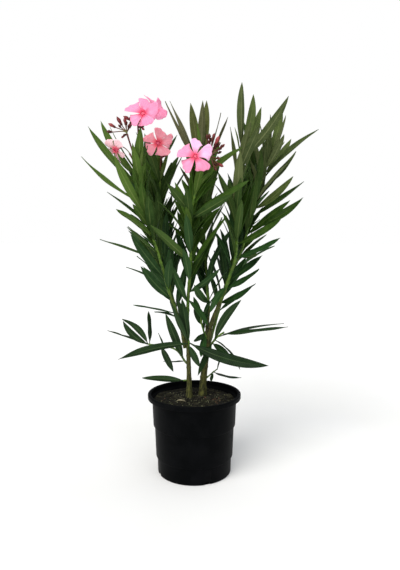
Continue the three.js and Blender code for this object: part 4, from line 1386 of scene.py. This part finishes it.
class Nodes:
    """Short ways to add nodes to a tree and join them."""

    def __init__(self, tree):
        self.tree = tree

    def add(self, kind, inputs=None, **settings):
        node = self.tree.nodes.new(kind)
        for key, value in settings.items():
            setattr(node, key, value)
        for key, value in (inputs or {}).items():
            self.join(value, node.inputs[key])
        return node

    def join(self, value, socket):
        """Links a socket to another, or sets it to a number or colour."""
        if isinstance(value, bpy.types.NodeSocket):
            self.tree.links.new(value, socket)
        else:
            socket.default_value = srgb(*value) if socket.type == "RGBA" else value

    def math(self, operation, a, b=0.0, clamp=False):
        return self.add("ShaderNodeMath", {0: a, 1: b}, operation=operation, use_clamp=clamp).outputs[0]

    def times(self, a, b):
        return self.math("MULTIPLY", a, b)

    def plus(self, a, b):
        return self.math("ADD", a, b)

    def off_middle(self, value):
        return self.math("ABSOLUTE", self.math("SUBTRACT", value, 0.5))

    def wave(self, value, count):
        """A sine wave that comes round a number of times as the value goes up by 1."""
        return self.math("SINE", self.times(value, 2 * math.pi * count))

    def span(self, value, low, high, to_low=0.0, to_high=1.0):
        inputs = {"Value": value, "From Min": low, "From Max": high, "To Min": to_low, "To Max": to_high}
        return self.add("ShaderNodeMapRange", inputs, interpolation_type="SMOOTHSTEP").outputs[0]

    def mix(self, share, a, b):
        node = self.add("ShaderNodeMix", data_type="RGBA")
        for value, socket in ((share, node.inputs["Factor"]), (a, node.inputs[6]), (b, node.inputs[7])):
            self.join(value, socket)
        return node.outputs[2]

    def noise(self, vector, scale, detail, rough=0.5):
        inputs = {"Vector": vector, "Scale": scale, "Detail": detail, "Roughness": rough}
        return self.add("ShaderNodeTexNoise", inputs).outputs["Fac"]

    def split(self, vector):
        return self.add("ShaderNodeSeparateXYZ", {"Vector": vector}).outputs


FLOAT, VECTOR = "NodeSocketFloat", "NodeSocketVector"


def group(name, inputs, outputs):
    """An empty shader node group with its sockets, and the ends to join inside it."""
    tree = bpy.data.node_groups.new(name, "ShaderNodeTree")
    for socket, kind in inputs.items():
        tree.interface.new_socket(name=socket, in_out="INPUT", socket_type=kind)
    for socket in outputs:
        tree.interface.new_socket(name=socket, in_out="OUTPUT", socket_type=FLOAT)
    nodes = Nodes(tree)
    start, end = nodes.add("NodeGroupInput"), nodes.add("NodeGroupOutput")
    return tree, nodes, start.outputs, end.inputs


def mottle_group():
    """Soft patches: a mask that drifts between 0 and 1."""
    inputs = {"Vector": VECTOR, "Scale": FLOAT, "Low": FLOAT, "High": FLOAT}
    tree, nodes, start, end = group("Mottle", inputs, ("Mask",))
    patches = nodes.noise(start["Vector"], start["Scale"], 4, 0.55)
    nodes.join(nodes.span(patches, start["Low"], start["High"]), end["Mask"])
    return tree


def grain_group():
    """Fine grain as height, from two sizes of noise."""
    tree, nodes, start, end = group("Grain", {"Vector": VECTOR, "Scale": FLOAT}, ("Height",))
    fine = nodes.noise(start["Vector"], start["Scale"], 2, 0.6)
    coarse = nodes.noise(start["Vector"], nodes.times(start["Scale"], 0.14), 3)
    nodes.join(nodes.plus(fine, nodes.times(coarse, 0.3)), end["Height"])
    return tree


SIDE_VEINS = 34
VEIN_SLANT = 0.12


def blade_group():
    """The midrib, the side veins and the rim of a blade, from its UV map."""
    tree, nodes, start, end = group("Blade Marks", {"UV": VECTOR, "Rib Width": FLOAT}, ("Rib", "Vein", "Rim"))
    parts = nodes.split(start["UV"])
    off = nodes.off_middle(parts["X"])
    width = nodes.times(start["Rib Width"], nodes.span(parts["Y"], 0, 1, 1.5, 0.35))
    slant = nodes.math("SUBTRACT", parts["Y"], nodes.times(off, VEIN_SLANT))
    nodes.join(nodes.math("SUBTRACT", 1.0, nodes.math("DIVIDE", off, width), clamp=True), end["Rib"])
    nodes.join(nodes.span(nodes.wave(slant, SIDE_VEINS), 0.55, 1), end["Vein"])
    nodes.join(nodes.span(off, 0.38, 0.5), end["Rim"])
    return tree


MOTTLE, GRAIN, BLADE_MARKS = mottle_group(), grain_group(), blade_group()


class Finish(Nodes):
    """A material with one Principled shader and the places its nodes read from."""

    def __init__(self, name, roughness=0.5, specular=0.5):
        self.material = bpy.data.materials.new(name)
        self.material.use_nodes = True
        super().__init__(self.material.node_tree)
        self.shader = self.tree.nodes["Principled BSDF"]
        self.shader.inputs["Roughness"].default_value = roughness
        self.shader.inputs["Specular IOR Level"].default_value = specular
        places = self.add("ShaderNodeTexCoord")
        self.place, self.uv = places.outputs["Object"], places.outputs["UV"]
        self.tone = self.add("ShaderNodeAttribute", attribute_name="tone").outputs["Fac"]

    def group(self, tree, inputs):
        return self.add("ShaderNodeGroup", inputs, node_tree=tree).outputs

    def mottle(self, scale, low=0.35, high=0.65):
        return self.group(MOTTLE, {"Vector": self.place, "Scale": scale, "Low": low, "High": high})["Mask"]

    def grain(self, scale):
        return self.group(GRAIN, {"Vector": self.place, "Scale": scale})["Height"]

    def blade_marks(self, rib_width):
        return self.group(BLADE_MARKS, {"UV": self.uv, "Rib Width": rib_width})

    def bump(self, height, strength, distance):
        inputs = {"Height": height, "Strength": strength, "Distance": distance * MM}
        self.join(self.add("ShaderNodeBump", inputs).outputs["Normal"], self.shader.inputs["Normal"])

    def colour(self, value):
        self.join(value, self.shader.inputs["Base Color"])

    def roughness(self, value):
        self.join(value, self.shader.inputs["Roughness"])


def leaf_top(name, dark, light, rib, gloss):
    """The upper face of a leaf: green patches, a pale midrib, faint side veins and a satin shine."""
    finish = Finish(name, specular=0.09)
    marks = finish.blade_marks(0.045)
    patch = finish.plus(finish.times(finish.tone, 0.75), finish.times(finish.mottle(70), 0.35))
    green = finish.mix(finish.math("MINIMUM", patch, 1.0), dark, light)
    veined = finish.mix(finish.times(marks["Vein"], 0.16), green, rib)
    rimmed = finish.mix(finish.times(marks["Rim"], 0.2), veined, light)
    finish.colour(finish.mix(finish.times(marks["Rib"], 0.55), rimmed, rib))
    finish.roughness(finish.span(finish.mottle(140), 0, 1, gloss - 0.06, gloss + 0.1))
    finish.bump(finish.plus(finish.times(marks["Vein"], -0.5), finish.grain(1500)), 0.25, 0.25)
    return finish.material


def leaf_under(name, dark, light, rib):
    """The under face of a leaf: paler and duller, with a raised pale midrib."""
    finish = Finish(name, specular=0.06)
    marks = finish.blade_marks(0.08)
    green = finish.mix(finish.times(finish.tone, 0.8), dark, light)
    patched = finish.mix(finish.times(finish.mottle(90), 0.35), green, light)
    veined = finish.mix(finish.times(marks["Vein"], 0.2), patched, rib)
    finish.colour(finish.mix(finish.times(marks["Rib"], 0.6), veined, rib))
    finish.roughness(finish.span(finish.mottle(160), 0, 1, 0.62, 0.75))
    finish.bump(finish.grain(1400), 0.2, 0.25)
    return finish.material


# The greens of each kind of leaf: dark, light and rib above, how rough that face is, and the same below.
LEAF_GREENS = {
    # The shade kind is painted shade: darker greens for leaves low under the crown, where the crown shades
    # them.
    "painted_shade": ((8, 28, 8), (30, 54, 24), (74, 96, 54), 0.48, (22, 42, 20), (46, 68, 40), (88, 108, 70)),
    "deep": ((8, 34, 10), (34, 66, 28), (80, 106, 54), 0.46, (26, 52, 26), (54, 84, 46), (98, 122, 74)),
    "mid": ((18, 44, 6), (56, 84, 26), (104, 124, 58), 0.46, (38, 64, 26), (70, 94, 44), (114, 130, 74)),
    "bright": (
        (32, 64, 10), (70, 102, 32), (120, 140, 66), 0.48, (50, 80, 28), (82, 108, 44), (124, 140, 78)
    ),
    "sage": ((40, 56, 20), (86, 102, 52), (132, 142, 86), 0.54, (60, 74, 40), (98, 108, 66), (138, 144, 98)),
    "olive": (
        (54, 62, 24), (98, 104, 56), (142, 144, 94), 0.52, (82, 86, 54), (118, 118, 84), (158, 152, 116)
    ),
    "young": ((46, 74, 16), (82, 108, 36), (126, 140, 72), 0.48, (64, 88, 34), (98, 118, 58), (134, 146, 90)),
}


def leaf_finishes(name, kind):
    greens = LEAF_GREENS[kind]
    return [leaf_top(f"{name} upper face", *greens[:4]), leaf_under(f"{name} under face", *greens[4:])]


def stem_finish(name, old, young, lenticel):
    """Stem bark: olive brown and ridged where it is old, smooth yellow green where it is young."""
    finish = Finish(name, specular=0.35)
    streak = finish.add("ShaderNodeMapping", {"Vector": finish.place, "Scale": (1, 1, 0.22)}).outputs[0]
    fibres = finish.noise(streak, 420, 4, 0.6)
    aged = finish.mix(finish.span(fibres, 0.3, 0.7), *old)
    fresh = finish.mix(finish.mottle(120), *young)
    patch = finish.math("SUBTRACT", finish.mottle(60), 0.5)
    age = finish.plus(finish.tone, finish.times(patch, 0.3))
    colour = finish.mix(finish.span(age, 0.25, 0.75), fresh, aged)
    specks = finish.span(finish.noise(finish.place, 700, 1), 0.66, 0.74)
    finish.colour(finish.mix(finish.times(specks, 0.55), colour, lenticel))
    finish.roughness(finish.span(age, 0, 1, 0.45, 0.85))
    finish.bump(finish.plus(fibres, finish.times(specks, 0.5)), 0.5, 0.5)
    return finish.material


def stalk_finish():
    """Flower stalks: green at the foot and dark red towards the flower."""
    finish = Finish("Flower stalk skin", specular=0.4)
    green = finish.mix(finish.mottle(200), (96, 112, 44), (126, 138, 66))
    red = finish.mix(finish.mottle(260), (66, 26, 22), (112, 50, 42))
    finish.colour(finish.mix(finish.span(finish.tone, 0.35, 0.9), green, red))
    finish.bump(finish.grain(1300), 0.2, 0.3)
    return finish.material


def petal_finish(name, deep, pale, throat):
    """A petal: deep at the throat, paler outside, with fine darker lines running out."""
    finish = Finish(name, roughness=0.65, specular=0.2)
    parts = finish.split(finish.uv)
    inputs = {"X": finish.times(parts["X"], 26), "Y": parts["Y"], "Z": finish.tone}
    streaks = finish.noise(finish.add("ShaderNodeCombineXYZ", inputs).outputs[0], 1.3, 2)
    body = finish.mix(finish.span(streaks, 0.35, 0.75), pale, deep)
    soft = finish.mix(finish.span(parts["Y"], 0.05, 0.5), throat, body)
    rim = finish.span(finish.off_middle(parts["X"]), 0.3, 0.5)
    finish.colour(finish.mix(finish.times(rim, 0.35), soft, pale))
    finish.bump(finish.plus(streaks, finish.times(finish.grain(1500), 0.3)), 0.3, 0.4)
    return finish.material


def bud_finish(name, dark, light):
    """A bud or sepal: darker and lighter stripes that wind round it."""
    finish = Finish(name, specular=0.35)
    parts = finish.split(finish.uv)
    twist = finish.plus(finish.times(parts["X"], 5), finish.times(parts["Y"], 7))
    stripe = finish.span(finish.wave(twist, 1), -1, 1)
    share = finish.plus(finish.times(stripe, 0.4), finish.times(finish.tone, 0.6))
    finish.colour(finish.mix(share, dark, light))
    finish.bump(finish.grain(1300), 0.2, 0.3)
    return finish.material


RING_PITCH = 2.1
DUST_TOP = 165


def pot_finish():
    """Black moulded plastic: a fine grain, faint flow rings, a little dust and dull rubbed edges."""
    finish = Finish("Matte black pot plastic", specular=0.025)
    height = finish.split(finish.place)["Z"]
    dust = finish.times(finish.mottle(45, 0.48, 0.8), finish.span(height, 0, DUST_TOP * MM, 0.25, 1))
    black = finish.mix(finish.mottle(22), (4, 5, 6), (8, 9, 11))
    rubbed = finish.span(finish.add("ShaderNodeNewGeometry").outputs["Pointiness"], 0.5, 0.56)
    worn = finish.mix(finish.times(rubbed, 0.05), black, (27, 29, 31))
    finish.colour(finish.mix(finish.times(dust, 0.1), worn, (36, 36, 34)))
    finish.roughness(finish.span(dust, 0, 1, 0.46, 0.72))
    rings = finish.wave(height, 1 / (RING_PITCH * MM))
    finish.bump(finish.plus(finish.grain(900), finish.times(rings, 0.06)), 0.28, 0.3)
    return finish.material


def soil_finish(name, dark, light, moss=None):
    """Damp mix: dark and light crumbs, with moss where it is asked for."""
    finish = Finish(name, roughness=0.92, specular=0.2)
    crumbs = finish.noise(finish.place, 420, 6, 0.65)
    share = finish.plus(finish.times(finish.span(crumbs, 0.3, 0.75), 0.7), finish.times(finish.tone, 0.35))
    earth = finish.mix(share, dark, light)
    if moss:
        earth = finish.mix(finish.times(finish.mottle(38, 0.5, 0.68), 0.6), earth, moss)
    finish.colour(earth)
    finish.bump(finish.plus(crumbs, finish.times(finish.grain(1600), 0.4)), 0.8, 1.2)
    return finish.material


# Pieces
bark_finish = stem_finish(
    "Olive brown stem bark", ((24, 26, 8), (92, 93, 42)), ((50, 62, 14), (98, 106, 42)), (122, 122, 80)
)
shoot_finish = stem_finish(
    "Green shoot skin", ((38, 48, 12), (84, 96, 34)), ((58, 92, 18), (96, 126, 38)), (124, 136, 70)
)
bark.piece("stems_and_boughs", [bark_finish], "stem_bark", *LIMBS)
stems.piece("shoot_stems", [shoot_finish], "foliage", *SHOOTS)
for kind, heap in leaf_heaps.items():
    finishes = leaf_finishes(f"Leaf {kind}", kind)
    heap.piece(f"leaves_{kind}", finishes, "foliage", *sorted(leaf_nodes[kind]))
tufts.piece("young_leaf_tufts", leaf_finishes("Young leaf", "young"), "foliage", *tuft_shoots)

FLOWERING = sorted({row["shoot"] for row in HEADS})
sepal_finish = bud_finish("Dark red sepal", (46, 16, 12), (102, 42, 32))
rolled_finish = bud_finish("Rolled bud petals", (76, 18, 20), (164, 66, 68))
throat_finish = petal_finish("Flower throat", (246, 140, 165), (254, 184, 202), (240, 110, 140))
PETAL_COLOURS = {
    "rose": ((252, 124, 168), (255, 164, 200), (246, 90, 124)),
    "salmon": ((255, 138, 158), (255, 178, 192), (250, 92, 112)),
    "lilac": ((252, 168, 218), (255, 204, 238), (250, 122, 160)),
    "blush": ((255, 180, 192), (255, 220, 226), (250, 104, 124)),
}
flower_stalks.piece("flower_stalks", [stalk_finish()], "foliage", *FLOWERING)
calyx_heap.piece("sepals", [sepal_finish], "foliage", *FLOWERING)
bud_heap.piece("flower_buds", [rolled_finish], "foliage", *FLOWERING)
throat_heap.piece("flower_throats", [throat_finish], "foliage", *FLOWERING)
for kind, heap in petal_heaps.items():
    finish = petal_finish(f"Petal {kind}", *PETAL_COLOURS[kind])
    heap.piece(f"petals_{kind}", [finish], "foliage", *FLOWERING)

cut_notches(pot_heap.piece("nursery_pot", [pot_finish()], "pot_plastic", "pot"))
mix_finish = soil_finish("Damp potting mix", (5, 5, 3), (24, 23, 15), (36, 39, 18))
soil_heap.piece("potting_soil", [mix_finish], "potting_soil", "soil")
LOOSE_BITS = (
    ("soil_clods", clods, "Soil clod", (6, 6, 4), (34, 32, 22)),
    ("soil_bark_chips", chips, "Bark chip", (14, 13, 8), (62, 60, 42)),
    ("soil_pale_grains", grains, "Pale grain", (88, 88, 62), (150, 150, 118)),
    ("soil_brown_husks", husks, "Reddish brown husk", (62, 42, 32), (98, 70, 54)),
    ("soil_bark_curl", curls, "Pale bark curl", (108, 102, 80), (160, 152, 126)),
)
for piece, heap, name, dark, light in LOOSE_BITS:
    heap.piece(piece, [soil_finish(name, dark, light)], "potting_soil")

# Floor, light and camera
FLOOR_REACH = 40000
floor_corners = [(x * FLOOR_REACH, y * FLOOR_REACH, 0) for x, y in ((-1, -1), (1, -1), (1, 1), (-1, 1))]
floor = new_object("floor", new_mesh("floor", floor_corners, [(0, 1, 2, 3)]))
floor_finish = Finish("Pale floor", roughness=0.9, specular=0.1)
floor_finish.colour(floor_finish.mix(floor_finish.mottle(3), (250, 250, 249), (252, 252, 252)))
floor.data.materials.append(floor_finish.material)


def sun_light(name, turn, fall, power, spread, colour):
    """A soft far light: the compass turn that it comes from, left or right of the camera, and its fall."""
    light = bpy.data.lights.new(name, "SUN")
    light.energy, light.angle, light.color = power, math.radians(spread), colour
    new_object(name, light).rotation_euler = (math.radians(90 + fall), 0, math.radians(turn))


sun_light("key", -34, -44, 2.3, 45, (1, 0.98, 0.93))
sun_light("fill", 24, -34, 0.8, 60, (0.98, 0.98, 1))
sun_light("back", 150, -64, 0.6, 80, (1, 1, 0.98))

world = bpy.data.worlds.new("studio")
world.use_nodes = True
bpy.context.scene.world = world
sky = Nodes(world.node_tree)
world.node_tree.nodes.clear()
seen = sky.add("ShaderNodeBackground", {"Color": (255, 255, 255), "Strength": 1.0})
glow = sky.add("ShaderNodeBackground", {"Color": (240, 244, 250), "Strength": 0.36})
camera_rays = sky.add("ShaderNodeLightPath").outputs["Is Camera Ray"]
both = sky.add("ShaderNodeMixShader", {0: camera_rays, 1: glow.outputs[0], 2: seen.outputs[0]})
sky.add("ShaderNodeOutputWorld", {"Surface": both.outputs[0]})

lens = bpy.data.cameras.new("camera")
lens.lens, lens.sensor_width = CAMERA_LENS, CAMERA_SENSOR
camera = new_object("camera", lens)
camera.location = [c * MM for c in CAMERA_PLACE]
camera.rotation_euler = (math.radians(90 - CAMERA_PITCH), 0, 0)
bpy.context.scene.camera = camera
bpy.context.scene.view_settings.view_transform = "Standard"
